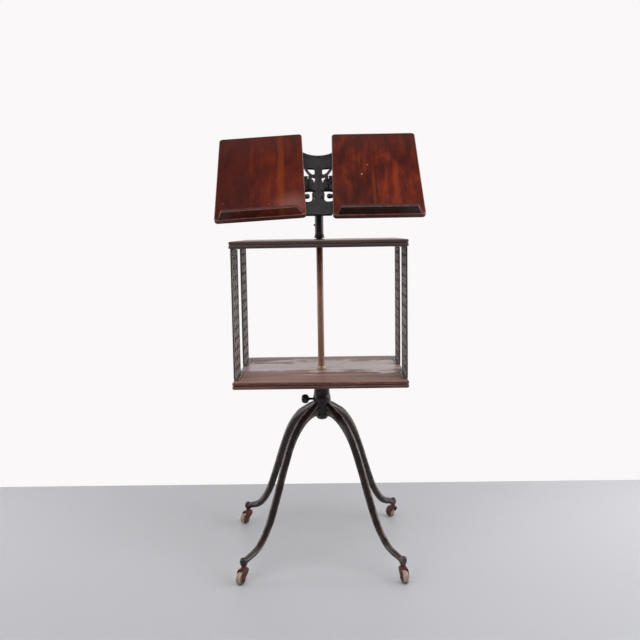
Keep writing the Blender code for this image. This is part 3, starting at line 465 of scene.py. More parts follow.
def iron_finish(name, black, worn, dust, wear, dusty, roughness, grain_mm, sideways=False):
    """Cast iron under old black japan: ridges brown with rubbing and painted highlight, dusty in
    grooves, finely pitted.

    Wear and dusty widen or narrow the brown ridge patches and the dusty patches. Sideways iron has
    both only on the faces that look along X.
    """
    finish, tree, shader, where = new_finish(name)
    relief = add(tree, "Attribute", attribute_name="relief").outputs["Fac"]
    patches = add(tree, "TexNoise", {"Vector": where, "Scale": per_metre(22), "Detail": 5.0,
                                     "Roughness": 0.62})
    # Brown sits where a ridge and a patch of the slow noise meet: rubbing and painted highlight
    wear_and_painted_light = add(tree, "Math", {0: relief, 1: 0.22, 2: patches}, operation="MULTIPLY_ADD")
    wear_and_painted_light = add(tree, "MapRange", {"Value": wear_and_painted_light, "From Min": 0.60 - wear,
                                    "From Max": 0.80 - wear, "To Max": 0.85})
    specks = add(tree, "TexNoise", {"Vector": where, "Scale": per_metre(3.5), "Detail": 6.0,
                                    "Roughness": 0.7})
    settled = add(tree, "Math", {0: relief, 1: -0.16, 2: specks}, operation="MULTIPLY_ADD")
    settled = add(tree, "MapRange", {"Value": settled, "From Min": 0.62 - dusty,
                                     "From Max": 0.78 - dusty, "To Max": 0.6})
    if sideways:
        facing = add(tree, "SeparateXYZ", {"Vector": add(tree, "NewGeometry").outputs["Normal"]})
        facing = add(tree, "Math", {0: facing.outputs["X"]}, operation="ABSOLUTE")
        settled = add(tree, "Math", {0: settled, 1: facing}, operation="MULTIPLY")
        wear_and_painted_light = add(tree, "Math", {0: wear_and_painted_light, 1: facing}, operation="MULTIPLY")
    # Ridges take the brown of rubbing and of a painted highlight
    colour = add(tree, "Mix", {0: wear_and_painted_light, 6: linear(black), 7: linear(worn)}, data_type="RGBA")
    colour = add(tree, "Mix", {0: settled, 6: colour, 7: linear(dust)}, data_type="RGBA")
    shine = add(tree, "MapRange", {"Value": patches, "From Min": 0.3, "From Max": 0.7,
                                   "To Min": roughness - 0.06, "To Max": roughness + 0.12})
    # Sand-cast skin, about 0.4 mm, drawn coarser so that it shows
    cast = add(tree, "TexNoise", {"Vector": where, "Scale": per_metre(grain_mm), "Detail": 4.0})
    bump = add(tree, "Bump", {"Height": cast, "Strength": 0.12, "Distance": 0.0004})
    set_shader(tree, shader, Base_Color=colour, Roughness=shine, Normal=bump)
    return finish


def bronzed_steel():
    """Drawn steel rod, chemically browned: a soft sheen, and painted shade blacker near the top."""
    finish, tree, shader, where = new_finish("bronzed_drawn_steel")
    height = add(tree, "SeparateXYZ", {"Vector": where}).outputs["Z"]
    # Painted shade: drawn lighter over the lower two thirds between the shelves, blacker above
    wear_and_painted_light = add(tree, "MapRange", {"Value": height, "From Min": 0.79, "From Max": 0.61})
    # Drawing lines, 0.2 mm apart on the real rod, drawn at 1.2 mm so that they show
    drawn = add(tree, "Mapping", {"Vector": where, "Scale": (1.0, 1.0, 0.02)}, vector_type="POINT")
    lines = add(tree, "TexNoise", {"Vector": drawn, "Scale": per_metre(1.2), "Detail": 3.0})
    stains = add(tree, "TexNoise", {"Vector": where, "Scale": per_metre(14), "Detail": 6.0,
                                    "Roughness": 0.65})
    tone = add(tree, "Math", {0: stains, 1: 0.55, 2: wear_and_painted_light}, operation="MULTIPLY_ADD")
    colour = add(tree, "ValToRGB", {"Fac": tone}, stops=(
        (0.15, "2c1e1c"), (0.45, "57392f"), (0.90, "987060"), (1.0, "a9826f")))
    shine = add(tree, "MapRange", {"Value": lines, "From Min": 0.3, "From Max": 0.7,
                                   "To Min": 0.30, "To Max": 0.46})
    bump = add(tree, "Bump", {"Height": lines, "Strength": 0.12, "Distance": 0.0003})
    set_shader(tree, shader, Base_Color=colour, Roughness=shine, Normal=bump, Metallic=0.75)
    return finish


def tarnished_brass():
    """Turned brass, gone dull and brown in patches, bright where it is rubbed."""
    finish, tree, shader, where = new_finish("tarnished_turned_brass")
    patches = add(tree, "TexNoise", {"Vector": where, "Scale": per_metre(5), "Detail": 5.0,
                                     "Roughness": 0.6})
    colour = add(tree, "ValToRGB", {"Fac": patches}, stops=(
        (0.30, "8f7658"), (0.50, "cdb895"), (0.70, "ece0c8")))
    shine = add(tree, "MapRange", {"Value": patches, "From Min": 0.3, "From Max": 0.7,
                                   "To Min": 0.50, "To Max": 0.28})
    set_shader(tree, shader, Base_Color=colour, Roughness=shine, Metallic=1.0)
    return finish


def rusty_iron():
    """Forged caster iron, red-brown with rust, darker and smoother where it was oiled."""
    finish, tree, shader, where = new_finish("rusted_forged_iron")
    crust = add(tree, "TexNoise", {"Vector": where, "Scale": per_metre(4.5), "Detail": 7.0,
                                   "Roughness": 0.68})
    colour = add(tree, "ValToRGB", {"Fac": crust}, stops=(
        (0.34, "1c0806"), (0.50, "441309"), (0.62, "722a16"), (0.78, "98532f")))
    shine = add(tree, "MapRange", {"Value": crust, "From Min": 0.35, "From Max": 0.65,
                                   "To Min": 0.38, "To Max": 0.78})
    # Rust grains, 0.2 mm, drawn at 0.8 mm
    grains = add(tree, "TexNoise", {"Vector": where, "Scale": per_metre(0.8), "Detail": 4.0})
    bump = add(tree, "Bump", {"Height": grains, "Strength": 0.4, "Distance": 0.0004})
    set_shader(tree, shader, Base_Color=colour, Roughness=shine, Normal=bump)
    return finish


def turned_maple():
    """Bare turned maple, greyed and bruised by the floor, darker round the axle and in painted
    shade below.
    """
    finish, tree, shader, where = new_finish("bare_turned_maple")
    grain = add(tree, "Mapping", {"Vector": where, "Scale": (1.0, 1.0, 0.25)}, vector_type="POINT")
    fibres = add(tree, "TexNoise", {"Vector": grain, "Scale": per_metre(1.6), "Detail": 5.0,
                                    "Roughness": 0.6})
    dirt = add(tree, "TexNoise", {"Vector": where, "Scale": per_metre(9), "Detail": 4.0})
    relief = add(tree, "Attribute", attribute_name="relief").outputs["Fac"]
    tone = add(tree, "Math", {0: relief, 1: 0.30, 2: fibres}, operation="MULTIPLY_ADD")
    tone = add(tree, "Math", {0: dirt, 1: 0.5, 2: tone}, operation="MULTIPLY_ADD")
    colour = add(tree, "ValToRGB", {"Fac": tone}, stops=(
        (0.35, "452d25"), (0.62, "826556"), (0.85, "a1897a"), (1.0, "b4a08f")))
    # Painted shade: where it stands, the tread is drawn black, darkest at the floor
    height = add(tree, "SeparateXYZ", {"Vector": where}).outputs["Z"]
    height = add(tree, "Math", {0: fibres, 1: 0.004, 2: height}, operation="MULTIPLY_ADD")
    painted_contact_shade = add(tree, "MapRange", {"Value": height, "From Min": 0.0130, "From Max": 0.0045,
                                   "To Max": 0.92}, interpolation_type="SMOOTHSTEP")
    colour = add(tree, "Mix", {0: painted_contact_shade, 6: colour, 7: linear("1a1514")}, data_type="RGBA")
    bump = add(tree, "Bump", {"Height": fibres, "Strength": 0.3, "Distance": 0.0004})
    set_shader(tree, shader, Base_Color=colour, Roughness=0.6, Normal=bump)
    return finish


def case_walnut():
    """Old varnished walnut, its grain across the case: dust and painted sheen on top, dark scuffed
    edges.
    """
    finish, tree, shader, where = new_finish("varnished_walnut")
    relief = add(tree, "Attribute", attribute_name="relief").outputs["Fac"]
    along = add(tree, "Mapping", {"Vector": where, "Scale": (0.07, 1.0, 1.0)}, vector_type="POINT")
    # Bands of figure, 26 mm wide, and pores of 0.3 mm drawn at 1.4 mm
    figure = add(tree, "TexNoise", {"Vector": along, "Scale": per_metre(26), "Detail": 4.0,
                                    "Roughness": 0.6, "Distortion": 0.4})
    pores = add(tree, "TexNoise", {"Vector": along, "Scale": per_metre(1.4), "Detail": 4.0,
                                   "Roughness": 0.7})
    tone = add(tree, "Math", {0: pores, 1: 0.45, 2: figure}, operation="MULTIPLY_ADD")
    wood = add(tree, "ValToRGB", {"Fac": tone}, stops=(
        (0.48, "4a2b22"), (0.66, "6c463a"), (0.82, "8e6555"), (0.95, "a37c6a")))
    # Painted sheen lies in a ragged sheet just behind the middle of the flat, and dust and painted
    # sheen towards its back
    place = add(tree, "SeparateXYZ", {"Vector": where})
    depth, height = (place.outputs[axis] for axis in "YZ")
    spread = add(tree, "Mapping", {"Vector": where, "Scale": (0.30, 1.0, 1.0)}, vector_type="POINT")
    ragged = add(tree, "TexNoise", {"Vector": spread, "Scale": per_metre(34), "Detail": 8.0,
                                    "Roughness": 0.68})
    from_middle = add(tree, "Math", {0: depth, 1: 0.035}, operation="SUBTRACT")
    from_middle = add(tree, "Math", {0: from_middle}, operation="ABSOLUTE")
    sheet = add(tree, "Math", {0: ragged, 1: 0.40, 2: from_middle}, operation="MULTIPLY_ADD")
    gloss_and_painted_sheen = add(tree, "MapRange", {"Value": sheet, "From Min": 0.276, "From Max": 0.254,
                                   "To Max": 0.6})
    cloud = add(tree, "TexNoise", {"Vector": spread, "Scale": per_metre(60), "Detail": 6.0,
                                   "Roughness": 0.62})
    dust = add(tree, "MapRange", {"Value": depth, "From Min": 0.0, "From Max": 0.16,
                                  "To Max": 0.55})
    dust = add(tree, "Math", {0: dust, 1: cloud}, operation="MULTIPLY")
    dust = add(tree, "Math", {0: dust, 1: gloss_and_painted_sheen}, operation="MAXIMUM")
    facing = add(tree, "SeparateXYZ", {"Vector": add(tree, "NewGeometry").outputs["Normal"]})
    dust = add(tree, "Math", {0: dust, 1: facing.outputs["Z"]}, operation="MULTIPLY",
               use_clamp=True)
    # The pale grey-mauve stands for dust and for painted sheen
    colour = add(tree, "Mix", {0: dust, 6: wood, 7: linear("ac9a9c")}, data_type="RGBA")
    groove = add(tree, "MapRange", {"Value": relief, "From Min": 0.0, "From Max": -1.0})
    colour = add(tree, "Mix", {0: groove, 6: colour, 7: linear("120b0a")}, data_type="RGBA")
    # The mouldings are rubbed to red wood in places and black with polish in others
    rub = add(tree, "TexNoise", {"Vector": along, "Scale": per_metre(7), "Detail": 5.0,
                                 "Roughness": 0.7})
    edge = add(tree, "MapRange", {"Value": relief, "From Min": 0.1, "From Max": 0.6})
    edge_colour = add(tree, "ValToRGB", {"Fac": rub}, stops=(
        (0.35, "331c19"), (0.52, "5e352d"), (0.72, "905c51")))
    # The upper board's mouldings are drawn darker than the lower board's
    upper = add(tree, "MapRange", {"Value": height, "From Min": 0.6, "From Max": 0.7,
                                   "To Max": 0.8})
    edge_colour = add(tree, "Mix", {0: upper, 6: edge_colour, 7: linear("302a2b")},
                      data_type="RGBA")
    colour = add(tree, "Mix", {0: edge, 6: colour, 7: edge_colour}, data_type="RGBA")
    # Dull and dry, with its gloss left where the painted sheen lies
    shine = add(tree, "MapRange", {"Value": gloss_and_painted_sheen, "From Max": 0.6, "To Min": 0.56, "To Max": 0.29})
    bump = add(tree, "Bump", {"Height": pores, "Strength": 0.10, "Distance": 0.0002})
    set_shader(tree, shader, Base_Color=colour, Roughness=shine, Normal=bump)
    return finish


# Marks on the two book boards, in each board's own frame: x across, s up the slope, in metres
PLANK_JOINT = {"left": -0.025, "right": -0.018}
# The orange streak: x, half width and strength
STREAK = {"left": (0.051, 0.0095, 0.9), "right": (-0.0085, 0.0060, 0.7)}
# Chips in the polish: x, s and radius
CHIPS = {"left": ((0.020, -0.114, 0.0010), (-0.087, -0.100, 0.0010)),
         "right": ((-0.035, -0.006, 0.0024), (-0.020, 0.032, 0.0018), (-0.051, 0.150, 0.0010))}


def tilt_frame():
    """The frame of what tilts: on the bolt's axis, Z square to the boards and Y up their slope."""
    return shift(z=PIVOT_Z) @ turn("X", BOARD_PITCH)


def leaf_frame(side):
    """The frame of a leaf: on its hinge pin, and hanging back on the left."""
    leaf = tilt_frame() @ shift(side * HINGE_X, HINGE_S - PIVOT_UP, PIVOT_TO_BOARD - HINGE_BELOW)
    return leaf @ turn("Y", side * DROP[side])


def board_frame(side):
    """The frame of a book board: out from its leaf's pin to its middle, and askew on its arm."""
    reach = BOARD_GAP / 2 + BOARD_W / 2 - HINGE_X
    middle = shift(side * reach, -HINGE_S, HINGE_BELOW - BOARD_T / 2)
    return leaf_frame(side) @ middle @ turn("Z", SKEW[side])


def polished_mahogany(name, dark):
    """French-polished mahogany, its grain up the slope: two reds, an orange streak, a soft gloss.

    Dark is the share of black polish over it.
    """
    left = name.startswith("left")
    which = "left" if left else "right"
    finish, tree, shader, where = new_finish("polished_mahogany_" + name)
    matrix = Matrix(board_frame(-1 if left else 1))
    local = add(tree, "Mapping", {"Vector": where, "Location": matrix.to_translation(),
                                  "Rotation": matrix.to_euler()}, vector_type="TEXTURE")
    split = add(tree, "SeparateXYZ", {"Vector": local})
    across, up = split.outputs["X"], split.outputs["Y"]
    grain = add(tree, "Mapping", {"Vector": local, "Scale": (1.0, 0.055, 1.0)}, vector_type="POINT")
    # Bands of growth, 14 mm, waver along the board; pores are 0.2 mm wide and drawn at 0.9 mm
    bands = add(tree, "TexNoise", {"Vector": grain, "Scale": per_metre(14), "Detail": 4.0,
                                   "Roughness": 0.55, "Distortion": 0.6})
    pores = add(tree, "TexNoise", {"Vector": grain, "Scale": per_metre(0.9), "Detail": 5.0,
                                   "Roughness": 0.7})
    mottle = add(tree, "Mapping", {"Vector": local, "Scale": (1.0, 0.35, 1.0)}, vector_type="POINT")
    clouds = add(tree, "TexNoise", {"Vector": mottle, "Scale": per_metre(30), "Detail": 5.0,
                                    "Roughness": 0.6, "Distortion": 0.3})
    # The left board's figure is the quieter
    calm = 0.6 if left else 1.0
    tone = add(tree, "Math", {0: bands, 1: 0.40 * calm, 2: 0.0}, operation="MULTIPLY_ADD")
    tone = add(tree, "Math", {0: clouds, 1: calm, 2: tone}, operation="MULTIPLY_ADD")
    tone = add(tree, "Math", {0: pores, 1: 0.16, 2: tone}, operation="MULTIPLY_ADD")
    middle = 0.5 * (1.40 * calm + 0.16)
    wood = add(tree, "ValToRGB", {"Fac": add(tree, "MapRange", {
        "Value": tone, "From Min": middle - 0.28, "From Max": middle + 0.28})}, stops=(
        (0.05, "340f0a"), (0.35, "45150d"), (0.60, "5e1e10"), (0.90, "7e3014")))
    # One plank is purpler than the other
    joint = PLANK_JOINT[which]
    plank = add(tree, "MapRange", {"Value": across, "From Min": joint + 0.001,
                                   "From Max": joint - 0.001, "To Max": 0.55 if left else 0.25})
    wood = add(tree, "Mix", {0: plank, 6: wood, 7: linear("38140f")}, data_type="RGBA")
    # A streak of orange wood runs up the board, wavering a few millimetres
    centre, half, strength = STREAK[which]
    waver = add(tree, "Math", {0: bands, 1: 0.010, 2: across}, operation="MULTIPLY_ADD")
    away = add(tree, "Math", {0: waver, 1: centre + 0.005}, operation="SUBTRACT")
    away = add(tree, "Math", {0: away}, operation="ABSOLUTE")
    streak = add(tree, "MapRange", {"Value": away, "From Min": half, "From Max": 0.2 * half,
                                    "To Max": strength}, interpolation_type="SMOOTHSTEP")
    # It keeps its strength to the top of the left board, and fades half way up the right one
    high_s, low_s, at_top = (0.12, 0.02, 0.9) if left else (0.05, -0.02, 0.15)
    fading = add(tree, "MapRange", {"Value": up, "From Min": high_s, "From Max": low_s,
                                    "To Min": at_top, "To Max": 0.8})
    streak = add(tree, "Math", {0: streak, 1: fading}, operation="MULTIPLY")
    wood = add(tree, "Mix", {0: streak, 6: wood, 7: linear("75300f")}, data_type="RGBA")
    # Painted reflection: the wood is drawn greyish purple towards the top
    painted_reflection = add(tree, "MapRange", {"Value": up, "From Min": 0.06, "From Max": 0.17, "To Max": 0.45})
    wood = add(tree, "Mix", {0: painted_reflection, 6: wood, 7: linear("4e2c29")}, data_type="RGBA")
    # A hazy bloom low down on the left board, fading at its rim
    if left:
        haze = add(tree, "VectorMath", {0: local, 1: (0.078, -0.118, 0.006)}, operation="DISTANCE")
        haze = add(tree, "MapRange", {"Value": haze.outputs["Value"], "From Min": 0.062,
                                      "From Max": 0.0, "To Max": 0.60},
                   interpolation_type="SMOOTHSTEP")
        haze = add(tree, "Math", {0: haze, 1: pores}, operation="MULTIPLY")
        wood = add(tree, "Mix", {0: haze, 6: wood, 7: linear("a9796c")}, data_type="RGBA")
    for x, s, radius in CHIPS[which]:
        chip = add(tree, "VectorMath", {0: local, 1: (x, s, BOARD_T / 2)}, operation="DISTANCE")
        chip = add(tree, "Math", {0: pores, 1: 0.004, 2: chip.outputs["Value"]},
                   operation="MULTIPLY_ADD")
        chip = add(tree, "MapRange", {"Value": chip, "From Min": radius + 0.0026,
                                      "From Max": radius + 0.0018, "To Max": 0.65})
        wood = add(tree, "Mix", {0: chip, 6: wood, 7: linear("a98f87")}, data_type="RGBA")
    if dark:
        wood = add(tree, "Mix", {0: dark, 6: wood, 7: linear("221516")}, data_type="RGBA")
    # Its sides are dark, and the roundings above and below them pale along their length, from
    # rubbing and a painted highlight
    relief = add(tree, "Attribute", attribute_name="relief").outputs["Fac"]
    rub = add(tree, "TexNoise", {"Vector": local, "Scale": per_metre(10), "Detail": 5.0,
                                 "Roughness": 0.7})
    side_face = add(tree, "MapRange", {"Value": relief, "From Min": 0.75, "From Max": 0.95,
                                       "To Max": 0.8})
    wood = add(tree, "Mix", {0: side_face, 6: wood, 7: linear("42251f")}, data_type="RGBA")
    worn = add(tree, "MapRange", {"Value": rub, "From Min": 0.35, "From Max": 0.60,
                                  "To Min": 0.25, "To Max": 0.85})
    rounding = add(tree, "MapRange", {"Value": relief, "From Min": 0.10, "From Max": 0.40})
    rounding = add(tree, "Math", {0: rounding, 1: side_face}, operation="SUBTRACT", use_clamp=True)
    worn = add(tree, "Math", {0: worn, 1: rounding}, operation="MULTIPLY", use_clamp=True)
    wood = add(tree, "Mix", {0: worn, 6: wood, 7: linear("8a625a")}, data_type="RGBA")
    # The underside has a thin, dull coat
    shine = add(tree, "MapRange", {"Value": split.outputs["Z"], "From Min": -0.0048,
                                   "From Max": -0.0040, "To Min": 0.62, "To Max": 0.25})
    bump = add(tree, "Bump", {"Height": pores, "Strength": 0.08, "Distance": 0.0002})
    set_shader(tree, shader, Base_Color=wood, Roughness=shine, Normal=bump,
               Specular_IOR_Level=0.30)
    return finish


def worn_steel():
    """Bright steel screws and pins, greyed with age, dark in their slots."""
    finish, tree, shader, where = new_finish("worn_bright_steel")
    relief = add(tree, "Attribute", attribute_name="relief").outputs["Fac"]
    stains = add(tree, "TexNoise", {"Vector": where, "Scale": per_metre(2.5), "Detail": 5.0})
    colour = add(tree, "ValToRGB", {"Fac": stains}, stops=((0.35, "4f4845"), (0.65, "a39c95")))
    slot = add(tree, "MapRange", {"Value": relief, "From Min": 0.0, "From Max": -0.5})
    colour = add(tree, "Mix", {0: slot, 6: colour, 7: linear("151312")}, data_type="RGBA")
    shine = add(tree, "MapRange", {"Value": stains, "From Min": 0.3, "From Max": 0.7,
                                   "To Min": 0.5, "To Max": 0.32})
    set_shader(tree, shader, Base_Color=colour, Roughness=shine, Metallic=0.9)
    return finish


def japanned_iron():
    """Black japanned cast iron of the legs, hub and head: satin black, brown ridges of rubbing and
    painted highlight.
    """
    return iron_finish("japanned_cast_iron", black="1e1413", worn="735d55", dust="4c423f",
                       wear=0.03, dusty=-0.20, roughness=0.27, grain_mm=1.2)


def plate_iron():
    """The back plate's cast iron: a duller, charcoal grey japan."""
    return iron_finish("dull_japanned_plate", black="171213", worn="2c2221", dust="312a2b",
                       wear=-0.10, dusty=-0.05, roughness=0.38, grain_mm=1.5)


def panel_iron():
    """The side panels' cast iron, grey with shelf dust in mottled streaks."""
    return iron_finish("dusty_pierced_iron", black="2a2220", worn="85766d", dust="b2a49e",
                       wear=0.05, dusty=0.25, roughness=0.6, grain_mm=1.8, sideways=True)


FINISHES = {
    "japanned_cast_iron": japanned_iron,
    "dull_japanned_plate": plate_iron,
    "dusty_pierced_iron": panel_iron,
    "bronzed_drawn_steel": bronzed_steel,
    "tarnished_turned_brass": tarnished_brass,
    "rusted_forged_iron": rusty_iron,
    "bare_turned_maple": turned_maple,
    "varnished_walnut": case_walnut,
    "worn_bright_steel": worn_steel,
    "polished_mahogany_left": lambda: polished_mahogany("left", 0.0),
    "polished_mahogany_right": lambda: polished_mahogany("right", 0.0),
    "polished_mahogany_left_ledge": lambda: polished_mahogany("left_ledge", 0.02),
    "polished_mahogany_right_ledge": lambda: polished_mahogany("right_ledge", 0.90),
}


def finish(name):
    """A finish, made the first time that a piece asks for it."""
    return bpy.data.materials.get(name) or FINISHES[name]()


# Sizes and colours that a user may change

class BookstandSizes(bpy.types.PropertyGroup):
    """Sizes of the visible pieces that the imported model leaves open."""

    leg_flute: bpy.props.FloatProperty(
        name="Leg Flute",
        description="Depth of the hollows along a leg, as a share of its half width",
        default=0.17, min=0.0, max=0.5, subtype="FACTOR")
    leg_swell: bpy.props.FloatProperty(
        name="Leg Swell", description="How much fuller a leg's section is than the packed one",
        default=0.18, min=0.0, max=0.3, subtype="FACTOR")
    leg_sides: bpy.props.IntProperty(
        name="Leg Sides", description="Points round a leg's section", default=64, min=16, max=128)
    knurl_count: bpy.props.IntProperty(
        name="Knurls", description="Ribs round the head of the thumbscrew",
        default=26, min=8, max=60)
    moulding_groove: bpy.props.FloatProperty(
        name="Moulding Groove",
        description="Radius of the groove round the edge of the case's boards",
        default=0.0016, min=0.0, max=0.003, unit="LENGTH")
    screw_radius: bpy.props.FloatProperty(
        name="Screw Head", description="Radius of the small slotted screw heads",
        default=0.0031, min=0.001, max=0.005, unit="LENGTH")
    panel_bar: bpy.props.FloatProperty(
        name="Panel Bar", description="Width of the iron between two openings of a side panel",
        default=0.0046, min=0.002, max=0.008, unit="LENGTH")
    rosette_radius: bpy.props.FloatProperty(
        name="Rosette", description="Radius of the rosettes on the side panels",
        default=0.0044, min=0.001, max=0.008, unit="LENGTH")
    board_corner: bpy.props.FloatProperty(
        name="Board Corner", description="Corner radius of the book boards",
        default=0.0090, min=0.001, max=0.03, unit="LENGTH")
    board_wear: bpy.props.FloatProperty(
        name="Board Wear", description="How much shorter a book board shows than it is packed",
        default=0.0075, min=0.0, max=0.01, unit="LENGTH")
    board_edge: bpy.props.FloatProperty(
        name="Board Edge", description="Rounding of the book boards' edges",
        default=0.0026, min=0.0005, max=0.006, unit="LENGTH")


class BookstandColours(bpy.types.PropertyGroup):
    """Colours of the floor and the backdrop."""

    floor: bpy.props.FloatVectorProperty(
        name="Floor", description="Colour of the painted floor", size=4, min=0.0, max=1.0,
        default=linear("b6b7bb"), subtype="COLOR")
    backdrop: bpy.props.FloatVectorProperty(
        name="Backdrop", description="Colour of the plain backdrop", size=4, min=0.0, max=1.0,
        default=linear("faf8f8"), subtype="COLOR")


# Legs and casters

FOOT_Z = JOINTS["caster_front_left_swivel"]["pos_m"][2]
FOOT_H = 0.0185
FOOT_R = 0.0087
LEG_LOW_Z = FOOT_Z + 0.48 * FOOT_H
LEG_HIGH_Z = 0.3742
LEG_IN = 0.0035         # how far inside the hub's rim a leg's line starts
LEG_SHORT = 0.0050      # how far from its foot's axis a leg's line ends
# Stations of a leg: share of the way out, share of the height, half depth, half width and share
# of the flute
LEG_STATIONS = (
    (0.000, 0.974, 0.0180, 0.0088, 0.17),
    (0.106, 0.945, 0.0122, 0.0096, 0.50),
    (0.230, 0.885, 0.0104, 0.0098, 0.83),
    (0.360, 0.764, 0.0096, 0.0092, 1.00),
    (0.477, 0.576, 0.0093, 0.0091, 1.00),
    (0.579, 0.380, 0.0092, 0.0091, 1.00),
    (0.693, 0.191, 0.0088, 0.0087, 1.00),
    (0.831, 0.058, 0.0079, 0.0078, 0.83),
    (1.000, 0.000, 0.0066, 0.0066, 0.50),
)


def leg_skin(sizes):
    """A leg along +X: four-ridged sections square to an S-curve from the hub to the foot.

    The section's half depth and half width are drawn in by the flute times the sine of twice the
    angle, raised to 1.6, which leaves four ridges with a hollow between each two. Both grow by the
    swell over the first fifth of the way out.
    """
    inner, outer = HUB_R - LEG_IN, FOOT_REACH - LEG_SHORT
    path = smooth_through(LEG_STATIONS, 12)
    reach = inner + path[:, 0] * (outer - inner)
    height = LEG_LOW_Z + path[:, 1] * (LEG_HIGH_Z - LEG_LOW_Z)
    slope = np.stack([np.gradient(reach), np.gradient(height)], axis=-1)
    slope /= np.linalg.norm(slope, axis=1, keepdims=True)
    slope[0] = (1.0, 0.0)
    angle = np.arange(sizes.leg_sides) * 2 * pi / sizes.leg_sides
    groove = np.abs(np.sin(2 * angle)) ** 1.6
    hollow = 1 - sizes.leg_flute * path[:, 4:5] * groove
    swell = 1 + sizes.leg_swell * np.clip(path[:, :1] / 0.2, 0.0, 1.0)
    up = path[:, 2:3] * swell * hollow * np.cos(angle)
    side = path[:, 3:4] * swell * hollow * np.sin(angle)
    grid = np.stack([reach[:, None] - slope[:, 1:] * up, side,
                     height[:, None] + slope[:, :1] * up], axis=-1)
    relief = np.broadcast_to(1 - 2 * groove, grid.shape[:2])
    relief = np.concatenate([relief[:1], relief, relief[-1:]])
    return skin(with_ends(grid), relief)


def foot_skin():
    """The round foot that a caster's stem turns in: a knob, ball-like above and flat below."""
    profile = softened([
        (0.0, FOOT_H), (0.45 * FOOT_R, 0.98 * FOOT_H), (0.80 * FOOT_R, 0.88 * FOOT_H),
        (FOOT_R, 0.72 * FOOT_H), (1.07 * FOOT_R, 0.52 * FOOT_H), (1.05 * FOOT_R, 0.30 * FOOT_H),
        (0.95 * FOOT_R, 0.10 * FOOT_H), (0.80 * FOOT_R, 0.0), (0.0, 0.0)], 0.0020, closed=False)
    return placed(skin(turned(profile, 40), 0.5), shift(FOOT_REACH, 0.0, FOOT_Z))


# Stations up a caster's horn: the height, and where its back and its front edge stand
HORN_STATIONS = (
    (0.0076, -0.0130, -0.0130),
    (0.0084, -0.0166, -0.0094),
    (0.0104, -0.0184, -0.0076),
    (0.0142, -0.0190, -0.0064),
    (0.0180, -0.0184, -0.0016),
    (0.0216, -0.0176, 0.0033),
    (0.0257, -0.0166, 0.0067),
    (0.0306, -0.0152, 0.0085),
    (0.0346, -0.0120, 0.0085),
)


def strap_line(x, high, radius, low=WHEEL_R - 0.0066):
    """A line up from the eye, round a quarter circle and over, and the same mirrored."""
    rise = np.linspace(0.0, 1.0, 18)[:-1, None]
    straight = (x, low) + rise * (0.0, high - radius - low)
    half = np.concatenate([straight, arc((x + radius, high - radius), radius, 180, 90, 8)])
    return np.concatenate([half, half[::-1] * (-1, 1)])


def horn_skin():
    """A caster's forked horn, in the frame of its swivel: one strap from eye to eye over the wheel.

    Along the strap the outside and inside run up, round the shoulder and over the bridge. Across it
    the section is a superellipse between them and between the back and front edges at that height.
    """
    cheek, bridge, top = 0.0026, 0.0054, 2 * WHEEL_R + 0.0062
    outer = strap_line(-HORN_HALF, top, 0.0055)
    inner = strap_line(-HORN_HALF + cheek, top - bridge, 0.0025)
    height, back, front = np.transpose(HORN_STATIONS)
    back, front = (np.interp(outer[:, 1], height, edge)[:, None] for edge in (back, front))
    angle = np.arange(20) * 2 * pi / 20
    through, across = ((np.sign(wave) * np.abs(wave) ** 0.5 + 1) / 2
                       for wave in (np.cos(angle), np.sin(angle)))
    x = inner[:, :1] + (outer[:, :1] - inner[:, :1]) * through
    z = inner[:, 1:] + (outer[:, 1:] - inner[:, 1:]) * through
    y = back + (front - back) * across
    return skin(with_ends(np.stack([x, y, z], axis=-1)))


def horn_neck_skin():
    """The collar and stem that turn in the foot: one turned profile."""
    profile = softened([(0.0, -0.0068), (0.0070, -0.0066), (0.0072, -0.0052), (0.0060, -0.0042),
                        (0.0058, -0.0022), (0.0062, -0.0004), (0.0040, -0.0003), (0.0040, 0.0138),
                        (0.0, 0.0138)], 0.0008, closed=False)
    return placed(skin(turned(profile, 36)), shift(z=FOOT_Z))


def wheel_skin():
    """A turned wheel about its axle: hub, dished face with a ring cut in it, and rounded tread."""
    half, hole = 0.0060, 0.0027
    side = np.array([
        (hole, half), (0.0060, half), (0.0074, half - 0.0015), (0.0090, half - 0.0017),
        (0.0093, half - 0.0022), (0.0096, half - 0.0017), (0.0113, half - 0.0013),
        (0.0128, half), (WHEEL_R - 0.0003, half - 0.0018), (WHEEL_R, half - 0.0030)])
    marks = np.array([-1.0, 0.3, -0.8, -0.4, -1.0, -0.2, 0.3, 0.9, 0.6, 0.2])
    grid = turned(np.concatenate([side, (side * (1, -1))[::-1]]), 56)
    relief = np.concatenate([marks, marks[::-1]])[:, None]
    return skin(grid, np.broadcast_to(relief, grid.shape[:2]), looped=True)


def axle_skin():
    """A riveted axle turned about Z, with a domed head at each end."""
    outside = HORN_HALF + GAP
    side = np.array([
        (0.0, outside + 0.0015), (0.0014, outside + 0.0014), (0.0027, outside + 0.0010),
        (0.0036, outside + 0.0004), (0.0040, outside), (0.0023, outside)])
    return skin(turned(np.concatenate([side, (side * (1, -1))[::-1]]), 28))


class BOOKSTAND_OT_legs(bpy.types.Operator):
    """Add the four ridged iron legs with their feet"""
    bl_idname = "bookstand.legs"
    bl_label = "Legs"

    def execute(self, context):
        sizes = context.scene.bookstand_sizes
        for corner in CORNERS:
            out = turn("Z", heading(JOINTS["caster_" + corner + "_swivel"]["pos_m"]))
            leg = [placed(part, out) for part in (leg_skin(sizes), foot_skin())]
            make_piece("leg_skin_" + corner, leg, finish("japanned_cast_iron"), "base",
                       ["leg_" + corner], 40)
        return {"FINISHED"}


